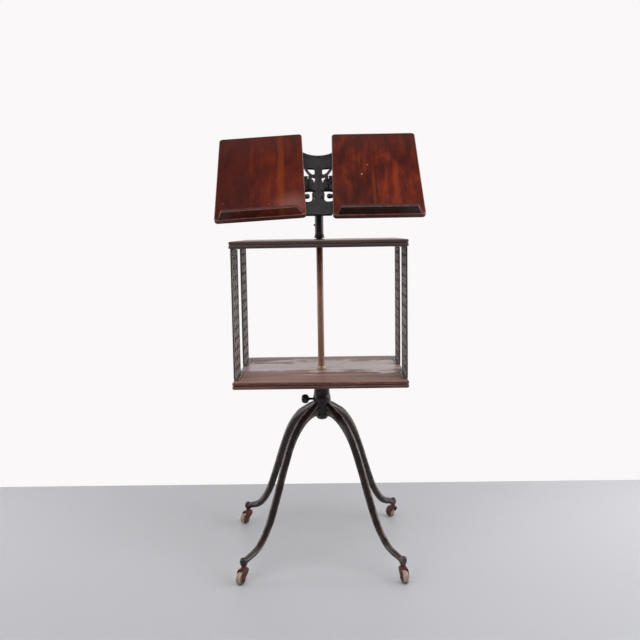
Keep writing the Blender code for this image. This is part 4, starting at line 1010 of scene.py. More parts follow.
class BOOKSTAND_OT_casters(bpy.types.Operator):
    """Add the horns, wooden wheels and axles of the casters"""
    bl_idname = "bookstand.casters"
    bl_label = "Casters"

    def execute(self, context):
        rusty, maple = finish("rusted_forged_iron"), finish("bare_turned_maple")
        for corner in CORNERS:
            x, y = JOINTS["caster_" + corner + "_swivel"]["pos_m"][:2]
            swivel = shift(x, y) @ turn("Z", heading(JOINTS["wheel_" + corner + "_spin"]["axis"]))
            spindle = swivel @ shift(0.0, -CASTER_TRAIL, WHEEL_R) @ turn("Y", 90)
            horn = [placed(part, swivel) for part in (horn_skin(), horn_neck_skin())]
            make_piece("horn_skin_" + corner, horn, rusty, "caster_" + corner,
                       ["horn_" + corner])
            make_piece("axle_skin_" + corner, [placed(axle_skin(), spindle)], rusty,
                       "caster_" + corner, ["axle_" + corner])
            make_piece("wheel_skin_" + corner, [placed(wheel_skin(), spindle)], maple,
                       "roller_" + corner, ["wheel_" + corner])
        return {"FINISHED"}


# Hub, thumbscrew and column

class BOOKSTAND_OT_hub(bpy.types.Operator):
    """Add the turned hub, its cap and the knurled thumbscrew"""
    bl_idname = "bookstand.hub"
    bl_label = "Hub and Thumbscrew"

    def execute(self, context):
        sizes = context.scene.bookstand_sizes
        japan = finish("japanned_cast_iron")
        low, high = (corner.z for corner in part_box("hub"))
        hub = softened([
            (ROD_BORE_R, high), (0.0192, high), (0.0195, high - 0.0009), (0.0195, low + 0.0550),
            (0.0201, low + 0.0460), (0.0218, low + 0.0395), (HUB_R, low + 0.0365),
            (HUB_R, low + 0.0030), (0.0220, low), (ROD_BORE_R, low)], 0.0030, 6)
        make_piece("hub_skin", [skin(turned(hub, 72), looped=True)], japan, "base",
                   ["hub"])
        cap = softened([
            (0.0, -GAP), (0.0155, -GAP), (0.0155, -0.0040), (0.0150, -0.0050), (0.0155, -0.0060),
            (0.0155, -0.0090), (0.0145, -0.0135), (0.0120, -0.0172), (0.0085, -0.0190),
            (0.0, -0.0190)], 0.0012, 5, closed=False)
        make_piece("hub_cap_skin", [placed(skin(turned(cap, 64)), shift(z=low))], japan, "base",
                   ["hub_cap"])
        head = softened([
            (0.0, 0.0520), (0.0062, 0.0514), (0.0098, 0.0486), (0.0114, 0.0445), (0.0114, 0.0400),
            (0.0098, 0.0358), (0.0058, 0.0332), (0.0, 0.0327)], 0.0016, 5, closed=False)
        ribs = turned(head, 4 * sizes.knurl_count, sizes.knurl_count, 0.022)
        shank = turned([(0.0, 0.0345), (0.0048, 0.0340), (0.0034, 0.0305), (0.0030, 0.0290),
                        (0.0030, 0.0093), (0.0, 0.0083)], 32)
        out = shift(z=JOINTS["thumbscrew_turn"]["pos_m"][2]) @ turn("Y", -90)
        make_piece("thumbscrew_skin", [placed(skin(part), out) for part in (ribs, shank)], japan,
                   "thumbscrew", ["hub_thumbscrew"])
        refinish("bearing_washer", finish("tarnished_turned_brass"))
        return {"FINISHED"}


class BOOKSTAND_OT_column(bpy.types.Operator):
    """Add the round column and the collar that it comes out of"""
    bl_idname = "bookstand.column"
    bl_label = "Column"

    def execute(self, context):
        low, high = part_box("column_rod")
        steps = 4
        rod = softened([(0.0, high.z), (ROD_R, high.z), (ROD_R, low.z), (0.0, low.z)], 0.0010,
                       steps, closed=False)
        # Rings of points up the rod keep its long faces short
        rise = np.linspace(high.z - 0.002, low.z + 0.002, 40)[:, None]
        side = np.hstack([np.full_like(rise, ROD_R), rise])
        rod = np.concatenate([rod[:steps + 1], side, rod[steps + 1:]])
        make_piece("column_skin", [skin(turned(rod, 64))], finish("bronzed_drawn_steel"),
                   "column", ["column_rod"])
        collar = softened([
            (ROD_BORE_R, 0.0), (0.0110, 0.0), (0.0110, 0.0160), (0.0118, 0.0160),
            (0.0118, 0.0172), (0.0104, 0.0180), (0.0098, 0.0190), (0.0104, 0.0204),
            (0.0100, 0.0222), (ROD_BORE_R, 0.0222)], 0.0005, 4)
        place = shift(z=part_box("bottom_bush")[0].z)
        make_piece("bottom_bush_skin", [placed(skin(turned(collar, 56), looped=True), place)],
                   finish("tarnished_turned_brass"), "case", ["bottom_bush"])
        refinish("top_bush", finish("japanned_cast_iron"))
        return {"FINISHED"}


# Case

SHELF_HOLE_R = 0.0112
PANEL_INSET = 0.0008    # from a case board's side to a panel's outer face
FLANGE_W = 0.0090
FLANGE_T = 0.0025
FLANGE_IN = 0.0060      # from a panel's middle to its flanges' middle
FLANGE_SCREWS = (-0.042, 0.0, 0.042)
FLANGE_SCREWS_IN = 0.0005   # how far inside their flange's middle the screws stand


def divided(outline, step):
    """The outline with points added along its sides, at equal steps of its length."""
    closed = np.concatenate([outline, outline[:1]])
    sides = np.linalg.norm(np.diff(closed, axis=0), axis=1)
    length = np.concatenate([[0.0], np.cumsum(sides)])
    wanted = np.union1d(length[:-1], np.arange(0.0, length[-1], step))
    wanted = wanted[np.concatenate([[True], np.diff(wanted) > 0.0001])]
    return np.stack([np.interp(wanted, length, closed[:, i]) for i in (0, 1)], axis=-1)


def case_board_skin(sizes):
    """A case board about its middle: rings of its outline follow a bead, a groove and a bead.

    The first and last ring lie on the column's hole, at the angles of the outline's points, and the
    rows close through it.
    """
    outline = divided(rounded_rectangle(SHELF_W, SHELF_D, 0.006, 8), 0.012)
    half, bead, groove, middle = SHELF_T / 2, 0.0027, sizes.moulding_groove, 0.0005
    fillet = 0.0005
    low = arc((bead, -half + bead), bead, 270, 180, 6)
    high = arc((bead, half - bead), bead, 180, 90, 6)
    round_cut = np.linspace(0.1, pi - 0.1, 9)
    cut = np.stack([groove * np.sin(round_cut), middle - groove * np.cos(round_cut)], axis=-1)
    profile = np.concatenate([low, [(0.0, middle - groove - fillet)], cut,
                              [(0.0, middle + groove + fillet)], high])
    marks = np.concatenate([np.linspace(0.2, 1.0, 7), [0.7], -np.sin(round_cut),
                            [0.7], np.linspace(1.0, 0.2, 7)])
    marks[0] = marks[-1] = 0.0
    rings = inset_rings(outline, profile)
    angle = np.arctan2(outline[:, 1], outline[:, 0])
    hole = SHELF_HOLE_R * np.stack([np.cos(angle), np.sin(angle)], axis=-1)
    under, above = (np.concatenate([hole, np.full_like(hole[:, :1], height)], axis=-1)
                    for height in (-half, half))
    grid = np.concatenate([under[None], rings, above[None]])
    relief = np.broadcast_to(np.concatenate([[0.0], marks, [0.0]])[:, None], grid.shape[:2])
    return skin(grid, relief, looped=True)


def lattice(columns, rows):
    """Whole-numbered places of a lattice, row by row."""
    return np.stack(np.meshgrid(np.arange(columns), np.arange(rows)), axis=-1).reshape(-1, 2)


def panel_openings(sizes, height):
    """Outer loop and lozenge openings of a side panel, and the knots between the openings."""
    inside = np.array((PANEL_W, height)) - 2 * PANEL_FRAME
    cell = inside / (PANEL_COLUMNS, PANEL_ROWS)
    lozenge = np.array(((1, 0), (0, 1), (-1, 0), (0, -1))) * (cell - sizes.panel_bar) / 2
    middles = (lattice(PANEL_COLUMNS, PANEL_ROWS) + 0.5) * cell - inside / 2
    outer = rounded_rectangle(PANEL_W, height, 0.0006, 2)
    loops = [outer] + [softened(lozenge + middle, 0.0022, 4) for middle in middles]
    knots = lattice(PANEL_COLUMNS + 1, PANEL_ROWS + 1) * cell - inside / 2
    return loops, knots


def rosette_skin(radius):
    """A small raised rosette with six petals: a low dome with a sunk ring and a button."""
    profile = [(radius, 0.0), (0.86 * radius, 0.0007), (0.62 * radius, 0.0009),
               (0.42 * radius, 0.0003), (0.26 * radius, 0.0011), (0.0, 0.0013)]
    marks = np.array([-0.6, 0.6, 0.9, -1.0, 0.9, 1.0])[:, None]
    grid = turned(profile, 18, 6, 0.10)
    return skin(grid, np.broadcast_to(marks, grid.shape[:2]))


def panel_skins(sizes, height):
    """A pierced panel in its own frame, X along it, Y up and Z outwards, with rosettes and rims."""
    loops, knots = panel_openings(sizes, height)
    skins = [cut_plate(loops, PANEL_T, 0.0005)]
    faces = [shift(z=PANEL_T / 2), shift(z=-PANEL_T / 2) @ turn("Y", 180)]
    at_knots = np.tile(np.eye(4), (len(knots), 1, 1))
    at_knots[:, :2, 3] = knots
    skins += [placed(rosette_skin(sizes.rosette_radius), face @ at_knots) for face in faces]
    rim_inset, rim_half, rim_flatness = 0.0026, 0.0012, 0.6
    path = rounded_rectangle(PANEL_W - 2 * rim_inset, height - 2 * rim_inset, 0.003, 4)
    path = np.concatenate([path, np.zeros_like(path[:, :1])], axis=-1)
    bead = arc((0.0, 0.0), rim_half, 0, 180, 6) * (1, rim_flatness)
    rim = skin(swept(path, bead, closed=True), looped=True)
    return skins + [placed(rim, face) for face in faces]


def flange_skin():
    """A flange's flat strip about its middle."""
    return slab_skin(rounded_rectangle(FLANGE_W, PANEL_W, 0.002, 4), FLANGE_T, 0.0006, 3)


def flange_screws(sizes, edge):
    """The screws of one flange, about its middle, each slot at its own angle.

    Edge is 1 on the flange under the upper board, and -1 on the one on the lower board.
    """
    over = turn("X", 180 if edge > 0 else 0)
    head = slotted_head(sizes.screw_radius, *SCREW_HEAD)
    return [placed(head, shift(0.0, along, -edge * FLANGE_T / 2)
                   @ turn("Z", 35 + 900 * along) @ over) for along in FLANGE_SCREWS]


class BOOKSTAND_OT_case(bpy.types.Operator):
    """Add the case's two moulded boards"""
    bl_idname = "bookstand.case"
    bl_label = "Case Boards"

    def execute(self, context):
        sizes = context.scene.bookstand_sizes
        for name in ("bottom_board", "top_board"):
            place = shift(z=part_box(name)[0].z + SHELF_T / 2)
            make_piece(name + "_skin", [placed(case_board_skin(sizes), place)],
                       finish("varnished_walnut"), "case", [name], 50)
        return {"FINISHED"}


class BOOKSTAND_OT_panels(bpy.types.Operator):
    """Add the four pierced side panels, their flanges and screws"""
    bl_idname = "bookstand.panels"
    bl_label = "Side Panels"

    def execute(self, context):
        sizes = context.scene.bookstand_sizes
        flanges, heads = [], []
        for side_name, side in (("left", -1), ("right", 1)):
            for end_name, end in (("front", -1), ("back", 1)):
                node = "side_panel_" + side_name + "_" + end_name
                low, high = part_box(node)
                height, middle = high.z - low.z, (high.z + low.z) / 2
                x = side * (SHELF_W / 2 - PANEL_INSET - PANEL_T / 2)
                y = end * (PANEL_NEAR + PANEL_W / 2)
                upright = shift(x, y, middle) @ turn("Z", 90) @ turn("X", 90)
                skins = [placed(part, upright) for part in panel_skins(sizes, height)]
                for edge in (-1, 1):
                    z = middle + edge * (height - FLANGE_T) / 2
                    inward = shift(x - side * FLANGE_IN, y, z)
                    flanges.append(placed(flange_skin(), inward))
                    heads += [placed(head, shift(-side * FLANGE_SCREWS_IN) @ inward)
                              for head in flange_screws(sizes, edge)]
                make_piece(node + "_skin", skins, finish("dusty_pierced_iron"), "case",
                           [node])
        make_piece("panel_flanges", flanges, finish("japanned_cast_iron"), "case")
        make_piece("panel_screws", heads, finish("worn_bright_steel"), "case")
        return {"FINISHED"}


# Head: socket, fork and screws

SOCKET_H = 0.0600
EYE_R = 0.0095
FORK_ROOT_HALF = 0.0100
FORK_SINK = 0.0040      # how far the fork starts inside the socket
FORK_SOLID = 0.0200     # how far below the tilt axis the cheeks part


def fork_outline(base):
    """Side view of the fork: a waisted stem from its base, with a round eye on the tilt axis."""
    rise = PIVOT_Z - base
    right = bend((FORK_ROOT_HALF, base + 0.08 * rise), (0.0072, base + 0.35 * rise),
                 (EYE_R * 0.86, PIVOT_Z - 0.5 * EYE_R), 12)
    half = np.concatenate([[(FORK_ROOT_HALF, base)], right])
    head = arc((0.0, PIVOT_Z), EYE_R, -20, 200, 28)
    return np.concatenate([half, head, half[::-1] * (-1, 1)])


def upright_plate(loops, thickness, rounding, x):
    """A plate whose outline lies in the YZ plane, its middle at x."""
    return placed(cut_plate(loops, thickness, rounding), shift(x) @ turn("Z", 90) @ turn("X", 90))


def socket_skins(foot):
    """The socket, closed over the column's end, with the fork's two cheeks and their solid foot."""
    socket = softened([
        (ROD_BORE_R, 0.0), (0.0124, 0.0), (0.0130, 0.0012), (0.0130, 0.0030), (0.0118, 0.0040),
        (0.0112, 0.0052), (0.0120, 0.0064), (0.0117, 0.0078), (0.0105, 0.0090), (0.0105, 0.0530),
        (0.0112, 0.0548), (0.0130, 0.0565), (0.0130, 0.0595), (0.0120, SOCKET_H),
        (0.0, SOCKET_H)], 0.0009, 4, closed=False)
    socket = np.concatenate([[(0.0, 0.0503), (ROD_BORE_R, 0.0503)], socket])
    fork = fork_outline(foot + SOCKET_H - FORK_SINK)
    cheek = [fork, round_hole((0.0, PIVOT_Z), BOLT_BORE_R)]
    solid = fork[fork[:, 1] < PIVOT_Z - FORK_SOLID]
    return [
        placed(skin(turned(socket, 64)), shift(z=foot)),
        upright_plate(cheek, FORK_CHEEK, 0.0009, FORK_CHEEK / 2 - FORK_HALF),
        upright_plate(cheek, FORK_CHEEK, 0.0009, FORK_HALF - FORK_CHEEK / 2),
        upright_plate([solid], 2 * FORK_HALF - 0.002, 0.0003, 0.0),
    ]


def wing_nut_skins():
    """The wing nut about Z: a turned boss with two blades, each bent out, over and back in."""
    boss = softened([
        (0.0034, 0.0106), (0.0060, 0.0106), (0.0060, 0.0131), (0.0043, 0.0176), (0.0034, 0.0176)],
        0.0006, 4)
    reach, root = 0.0130, 0.0036
    wing = np.concatenate([
        [(root, 0.01165)],
        bend((0.0048, 0.01165), (reach, 0.0120), (reach, 0.0183), 10),
        bend((0.75 * reach, 0.02005), (0.5 * reach, 0.0176), (root, 0.0169), 8)])
    blade = placed(cut_plate([wing], 0.0024, 0.0008), turn("X", 90))
    return [skin(turned(boss, 40), looped=True), blade, placed(blade, turn("Z", 180))]


class BOOKSTAND_OT_head(bpy.types.Operator):
    """Add the socket and fork, the set screw, the tilt bolt and its wing nut"""
    bl_idname = "bookstand.head"
    bl_label = "Head"

    def execute(self, context):
        japan = finish("japanned_cast_iron")
        make_piece("head_socket_skin", socket_skins(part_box("head_socket")[0].z), japan, "head",
                   ["head_socket"], 40)
        tip = turned([(0.0, 0.0083), (0.0024, 0.0083), (0.0024, 0.0118), (0.0, 0.0118)], 28)
        out = shift(z=JOINTS["set_screw_turn"]["pos_m"][2]) @ turn("Y", -90)
        top = placed(slotted_head(0.0026, 0.0014, 0.0007, 0.0009), shift(z=0.0125))
        make_piece("set_screw_skin", [placed(part, out) for part in (skin(tip), top)],
                   finish("worn_bright_steel"), "set_screw",
                   ["head_set_screw"])
        bolt = softened([
            (0.0, 0.0146), (0.0040, 0.0141), (0.0056, 0.0124), (0.0058, 0.0106), (0.0030, 0.0106),
            (0.0030, -0.0222), (0.0024, -0.0226), (0.0, -0.0226)], 0.0005, 4, closed=False)
        along = shift(z=PIVOT_Z) @ turn("Y", 90)
        make_piece("tilt_bolt_skin", [placed(skin(turned(bolt, 40)), along)], japan, "head",
                   ["tilt_bolt"])
        back = shift(z=PIVOT_Z) @ turn("Y", -90)
        make_piece("wing_nut_skin", [placed(part, back) for part in wing_nut_skins()], japan,
                   "wing_nut", ["tilt_wing_nut"])
        return {"FINISHED"}


# Back plate, in its own frame: x sideways, s up the slope, and outwards to the reader

CRESCENT_S = 0.1602     # middle of the crescent that the plate's top is cut to
CRESCENT_R = 0.0570
TIP_X = 0.0460          # where the crescent ends in the plate's horns
TIP_R = 0.0065
WAIST = (0.0400, 0.0650)
SHOULDER = (0.0540, 0.0)
BELLY = (0.0420, -0.0840)
BALL = (0.0270, -0.0600)


def plate_outline():
    """The plate's outline: its right half from the top's middle to the foot, then its left."""
    tip_s = CRESCENT_S - CRESCENT_R * (1 - (TIP_X / CRESCENT_R) ** 2) ** 0.5
    horn = (0.0512, tip_s - 0.0013)
    half = np.concatenate([
        arc((0.0, CRESCENT_S), CRESCENT_R, -90, degrees(TIP_X / CRESCENT_R) - 90, 20),
        arc(horn, TIP_R, 130, -20, 14),
        bend((horn[0] + 0.7 * TIP_R, horn[1] - TIP_R), (horn[0], (horn[1] + WAIST[1]) / 2),
             WAIST, 12),
        bend(WAIST, (0.0248, 0.0165), (0.0095, 0.0140), 18)[1:],
        [(0.0083, 0.0120), (0.0083, -0.0125), (0.0120, -0.0125), (0.0120, 0.0020)],
        bend((0.0143, 0.0030), (0.0290, 0.0100), SHOULDER, 12),
        arc((SHOULDER[0], -0.0060), 0.006, 60, -80, 10),
        bend((0.0500, -0.0150), (0.0400, -0.0290), (0.0400, -0.0400), 8),
        bend((0.0420, -0.0430), (0.0520, -0.0620), BELLY, 14),
        bend(BELLY, (0.0380, -0.1170), (0.0330, -0.1280), 10)[1:],
        [(0.0310, -0.1310)]])
    return np.concatenate([half, (half * (-1, 1))[::-1][:-1]])


def plate_openings():
    """Openings on the right: the eye under the crescent, the C round the ball, and a slit."""
    eye = np.concatenate([
        bend((0.0095, 0.0450), (0.0103, 0.0500), (0.0170, 0.0505), 8),
        bend((0.0170, 0.0505), (0.0240, 0.0500), (0.0288, 0.0525), 5)[1:],
        bend((0.0290, 0.0495), (0.0235, 0.0275), (0.0130, 0.0230), 14), [(0.0095, 0.0255)]])
    outer, top, low = 0.0380, -0.0400, -0.0834
    scroll = np.concatenate([
        bend((0.0063, top - 0.0010), (0.5 * outer, top + 0.0012), (outer - 0.010, top), 8),
        bend((outer - 0.012, top), (outer + 0.001, top - 0.001), (outer, top - 0.012), 10)[1:],
        [(outer, -0.0555)], arc(BALL, 0.0065, 38, 322, 26), [(outer, -0.0645)],
        bend((outer, low + 0.012), (outer + 0.001, low), (outer - 0.012, low), 10),
        bend((0.0235, low - 0.0006), (0.0140, low), (0.0145, low + 0.013), 8),
        bend((0.0152, top - 0.016), (0.0150, top - 0.005), (0.0095, top - 0.0048), 8),
        [(0.0063, top - 0.0045)]])
    slit = softened([(0.0072, -0.0620), (0.0102, -0.0640), (0.0104, -0.0730),
                     (0.0075, -0.0740)], 0.0012)
    return eye, scroll, slit


def half_round(path, width, height):
    """A raised half-round moulding along a flat path.

    It tapers to nothing as a square root over the first and the last tenth of the path's points.
    """
    path = np.concatenate([path, np.zeros((len(path), 1))], axis=-1)
    share = np.linspace(0.0, 1.0, len(path))
    taper = np.sqrt(np.clip(np.minimum(share, 1 - share) / 0.1, 0.0004, 1.0))[:, None, None]
    grid = swept(path, arc((0.0, 0.0), 1.0, 0, 180, 8) * (width / 2, height))
    middle = path[:, None]
    marks = np.sin(np.linspace(0.0, pi, 9)) * np.ones((len(path), 1))
    return skin(middle + (grid - middle) * taper, marks)


def plate_mouldings():
    """Mouldings on the plate's face: crescent, stem, and a rib, rim, foot and ball on each side."""
    crescent = arc((0.0, CRESCENT_S), CRESCENT_R + 0.0030, -90 - 40, -90 + 40, 40)
    stem = np.stack([np.zeros(24), np.linspace(-0.046, 0.052, 24)], axis=-1)
    mouldings = [half_round(crescent, 0.0022, 0.0007), half_round(stem, 0.0040, 0.0009)]
    beads = (
        (bend((0.0300, 0.0530), (0.0240, 0.0258), (0.0110, 0.0198), 20), 0.0018),
        (bend((0.0405, -0.0430), (0.0490, -0.0620), (0.0398, -0.0850), 20), 0.0022),
        (bend((0.0395, -0.0870), (0.0350, -0.1150), (0.0300, -0.1270), 20), 0.0020),
    )
    ball = softened([(0.0056, 0.0), (0.0050, 0.0010), (0.0030, 0.0018), (0.0, 0.0020)],
                    0.0006, 4, closed=False)
    for side in (1, -1):
        mouldings += [half_round(path * (side, 1), width, 0.0007) for path, width in beads]
        mouldings.append(placed(skin(turned(ball, 28), 0.8), shift(side * BALL[0], BALL[1])))
    return mouldings


def plate_knuckles(tilt, root):
    """The plate's two knuckles on each leaf's pin, and the webs that rise to them from the root."""
    axis_z, middle, half = PIVOT_TO_BOARD - HINGE_BELOW, HINGE_S - PIVOT_UP, 0.0088
    knuckle = softened([(PIN_BORE_R, -half), (KNUCKLE_R, -half), (KNUCKLE_R, half),
                        (PIN_BORE_R, half)], 0.0006, 4)
    web = softened([(-0.0040, -half), (0.0040, -half), (0.0040, half), (-0.0040, half)], 0.0008)
    block = with_ends(inset_rings(web, [(0.0, root), (0.0, axis_z - 0.001)]))
    skins = []
    for side in (-1, 1):
        for end in (-1, 1):
            s = middle + end * (KNUCKLE_LEN / 2 + GAP + 0.0001 + half)
            at = tilt @ shift(side * HINGE_X, s)
            pin = at @ shift(z=axis_z) @ turn("X", -90)
            skins += [placed(skin(turned(knuckle, 36), looped=True), pin), placed(skin(block), at)]
    return skins


class BOOKSTAND_OT_plate(bpy.types.Operator):
    """Add the pierced scroll plate with its mouldings, lug and hinge knuckles"""
    bl_idname = "bookstand.plate"
    bl_label = "Back Plate"

    def execute(self, context):
        tilt = tilt_frame()
        front = PIVOT_TO_BOARD - PLATE_FRONT
        face = tilt @ shift(0.0, -PIVOT_UP, front)
        openings = [loop * (side, 1) for loop in plate_openings() for side in (1, -1)]
        plate = cut_plate([plate_outline()] + openings, PLATE_T, 0.0007)
        back = front - PLATE_T + 0.001
        lug = np.concatenate([arc((0.0, 0.0), 0.0090, 200, 340, 20),
                              [(0.0150, back), (-0.0150, back)]])
        lug = upright_plate([lug, round_hole((0.0, 0.0), BOLT_BORE_R)], 0.0100, 0.0006, 0.0)
        skins = [placed(plate, face @ shift(z=-PLATE_T / 2))]
        skins += [placed(part, face) for part in plate_mouldings()]
        skins += [placed(lug, tilt)] + plate_knuckles(tilt, front - 0.001)
        make_piece("back_plate_skin", skins, finish("dull_japanned_plate"), "plate",
                   ["back_plate"], 40)
        for name in ("left", "right"):
            refinish("hinge_pin_" + name, finish("worn_bright_steel"))
        return {"FINISHED"}


# Leaves: arms, book boards and ledges

ARM_T = 0.0040
ARM_END = 0.165         # from the hinge pin to the middle of the arm's round end
ARM_END_R = 0.011
ARM_SCREWS = ((0.048, 0.011), (0.048, -0.011), (0.163, 0.0))
ARM_SCREW_PROUD = 0.0002    # how far the rims of the arm screws' heads stand off the arm
STOP_H = 0.0050
STOP_R = 0.0050
STOP_X = 0.0300
# A worn and rounded book board is this much wider and thinner than it is packed
BOARD_WIDER = 0.0020
BOARD_THINNER = 0.0012
LEDGE_FOOT_HALF = 0.0965
LEDGE_TOP_HALF = 0.0870
LEDGE_H = 0.0210
LEDGE_T = 0.0090
LEDGE_UP = 0.0067       # from the board's foot to the ledge's middle


def arm_skins(side):
    """An arm in its leaf's frame: a tapered bar under the board, a knuckle and a stop."""
    top = HINGE_BELOW - BOARD_T - GAP
    low, knuckle, root = top - ARM_T, KNUCKLE_LEN / 2 - GAP, KNUCKLE_R + 0.001
    half = np.concatenate([
        [(0.0, -knuckle), (root, -knuckle), (root, -0.0270)],
        bend((0.45 * root + 0.010, -0.0270), (0.040, -0.0243), (0.080, -0.01566), 12),
        arc((ARM_END, 0.0), ARM_END_R, -90, 0, 12)])
    outline = np.concatenate([half, (half * (1, -1))[::-1][1:]]) * (side, 1)
    bar = placed(cut_plate([outline], ARM_T, 0.0008), shift(z=(top + low) / 2))
    barrel = softened([(PIN_BORE_R, -knuckle), (KNUCKLE_R, -knuckle), (KNUCKLE_R, knuckle),
                       (PIN_BORE_R, knuckle)], 0.0006, 4)
    spine = np.stack([np.linspace(0.030, 0.150, 24) * side, np.zeros(24)], axis=-1)
    skins = [bar, placed(skin(turned(barrel, 36), looped=True), turn("X", -90)),
             placed(half_round(spine, 0.006, 0.0012), shift(z=low) @ turn("X", 180))]
    # A leaf that hangs back has the shorter stop, or none
    tall = STOP_H - GAP - np.sin(radians(DROP[side])) * (STOP_X + STOP_R)
    if tall > GAP - low:
        stop = softened([(0.0, -tall), (STOP_R, -tall), (STOP_R, low + 0.0005),
                         (0.0, low + 0.0005)], 0.0006, 4, closed=False)
        skins.append(placed(skin(turned(stop, 32)), shift(side * STOP_X, -0.004)))
    return skins


class BOOKSTAND_OT_leaves(bpy.types.Operator):
    """Add the two folding leaves: arm, screws, book board and ledge"""
    bl_idname = "bookstand.leaves"
    bl_label = "Leaves"

    def execute(self, context):
        sizes = context.scene.bookstand_sizes
        outline = rounded_rectangle(BOARD_W + BOARD_WIDER, BOARD_H - sizes.board_wear,
                                    sizes.board_corner, 12)
        outline = divided(outline + (0.0, sizes.board_wear / 2), 0.02)
        slab = slab_skin(outline, BOARD_T - BOARD_THINNER, sizes.board_edge, 6)
        strip = slab_skin(softened([(-LEDGE_FOOT_HALF, 0.0), (LEDGE_FOOT_HALF, 0.0),
                                    (LEDGE_TOP_HALF, LEDGE_H), (-LEDGE_TOP_HALF, LEDGE_H)],
                                   0.0015, 6), LEDGE_T, 0.0013)
        foot = sizes.board_wear - BOARD_H / 2
        head = slotted_head(sizes.screw_radius, *SCREW_HEAD)
        for name, side in (("left", -1), ("right", 1)):
            body, leaf, board = "leaf_" + name, leaf_frame(side), board_frame(side)
            polish = "polished_mahogany_" + name
            make_piece("book_board_" + name + "_skin",
                       [placed(slab, board @ shift(z=BOARD_THINNER / 2))], finish(polish), body,
                       ["book_board_" + name], 50)
            ledge = board @ shift(0.0, foot + LEDGE_UP, BOARD_T / 2 + GAP) @ turn("X", 90)
            make_piece("ledge_" + name + "_skin", [placed(strip, ledge)],
                       finish(polish + "_ledge"), body, ["ledge_" + name], 50)
            make_piece("arm_" + name + "_skin", [placed(part, leaf) for part in arm_skins(side)],
                       finish("japanned_cast_iron"), body,
                       ["arm_" + name], 40)
            under = leaf @ shift(z=HINGE_BELOW - BOARD_T - GAP - ARM_T - ARM_SCREW_PROUD)
            # The far screw's slot stands at another angle than the near two
            heads = [placed(head, under @ shift(side * x, y) @ turn("X", 180)
                            @ turn("Z", 4000 * x)) for x, y in ARM_SCREWS]
            make_piece("arm_screws_" + name, heads, finish("worn_bright_steel"), body)
        return {"FINISHED"}


# Stage

FLOOR_HALF = 5.0
BACKDROP_Y = 0.507
BACKDROP_H = 1.7
# Soft square lights: name, place, target, side and watts
SOFTBOXES = (
    ("window_left", (-2.1, -1.9, 2.0), (0, 0, 0.55), 1.8, 32),
    ("window_right", (2.4, -1.2, 1.8), (0.3, 0, 0.4), 1.6, 40),
    ("overhead", (0.2, -0.9, 3.0), (0.2, 0, 0.5), 1.8, 30),
    # Two weak ones near the backdrop draw bright lines down the inner sides of the legs
    ("edge_left", (-1.6, 0.28, 0.9), (0, 0, 0.4), 0.8, 7),
    ("edge_right", (1.6, 0.28, 0.9), (0, 0, 0.4), 0.8, 9),
)
# The camera as solved from the case's boards, the floor and the legs
CAMERA_PLACE = (0.0260, -1.9575, 0.8129)
CAMERA_PAN = -0.808     # degrees to the right of +Y
CAMERA_DOWN = 6.496
CAMERA_ROLL = -0.906
SENSOR_MM = 36.0
FOCAL_PX = 785.0
PICTURE_PX = 640.0


def stage_finish(name, colour, roughness, lit):
    """Matt paint, seen through from behind. A lit one shows camera and gloss its own colour."""
    finish, tree, shader, _ = new_finish(name)
    path = add(tree, "LightPath")
    set_shader(tree, shader, Base_Color=tuple(colour), Roughness=roughness, Specular_IOR_Level=0.3)
    surface = shader
    if lit:
        glow = add(tree, "Emission", {"Color": tuple(colour), "Strength": 1.0})
        seen = add(tree, "Math", {0: path.outputs["Is Camera Ray"],
                                  1: path.outputs["Is Glossy Ray"]}, operation="MAXIMUM")
        seen = add(tree, "Math", {0: seen, 1: path.outputs["Is Transmission Ray"]},
                   operation="MAXIMUM")
        surface = add(tree, "MixShader", {0: seen, 1: surface, 2: glow})
    behind = add(tree, "Math", {0: path.outputs["Is Camera Ray"],
                                1: add(tree, "NewGeometry").outputs["Backfacing"]},
                 operation="MULTIPLY")
    surface = add(tree, "MixShader", {0: behind, 1: surface, 2: add(tree, "BsdfTransparent")})
    tree.links.new(first_output(surface), tree.nodes["Material Output"].inputs["Surface"])
    return finish


def flat_sheet(name, corners, finish):
    """A single four-cornered face of the stage."""
    mesh = bpy.data.meshes.new(name)
    mesh.from_pydata(corners, [], [(0, 1, 2, 3)])
    mesh.materials.append(finish)
    sheet = bpy.data.objects.new(name, mesh)
    bpy.context.scene.collection.objects.link(sheet)


def softbox(name, place, target, side, watts):
    """A soft square light that faces a target."""
    lamp = bpy.data.lights.new(name, "AREA")
    lamp.energy = watts
    lamp.size = side
    box = bpy.data.objects.new(name, lamp)
    box.location = place
    box.rotation_euler = (Vector(target) - Vector(place)).to_track_quat("-Z", "Y").to_euler()
    bpy.context.scene.collection.objects.link(box)


def light_room(scene, backdrop):
    """A plain room all round for the light and the gloss, with the backdrop's colour in view."""
    world = bpy.data.worlds.new("studio")
    scene.world = world
    world.use_nodes = True
    tree = world.node_tree
    ray = add(tree, "SeparateXYZ", {"Vector": add(tree, "TexCoord").outputs["Generated"]})
    # A lit room up to head height, with a darker ceiling for the gloss to show
    room = add(tree, "ValToRGB", {"Fac": ray.outputs["Z"]}, stops=(
        (0.0, "dcdcde"), (0.45, "cfcfd2"), (0.80, "5c5a5c")))
    # The room in front is dim, which keeps the darks of polished pieces deep
    nearness = add(tree, "MapRange", {"Value": ray.outputs["Y"], "From Min": -0.2,
                                      "From Max": 0.5, "To Min": 0.34, "To Max": 0.75})
    in_view = add(tree, "LightPath").outputs["Is Camera Ray"]
    sky = add(tree, "Mix", {0: in_view, 6: room, 7: tuple(backdrop)}, data_type="RGBA")
    power = add(tree, "Math", {0: in_view, 1: nearness}, operation="MAXIMUM")
    background = tree.nodes["Background"]
    tree.links.new(first_output(sky), background.inputs["Color"])
    tree.links.new(first_output(power), background.inputs["Strength"])


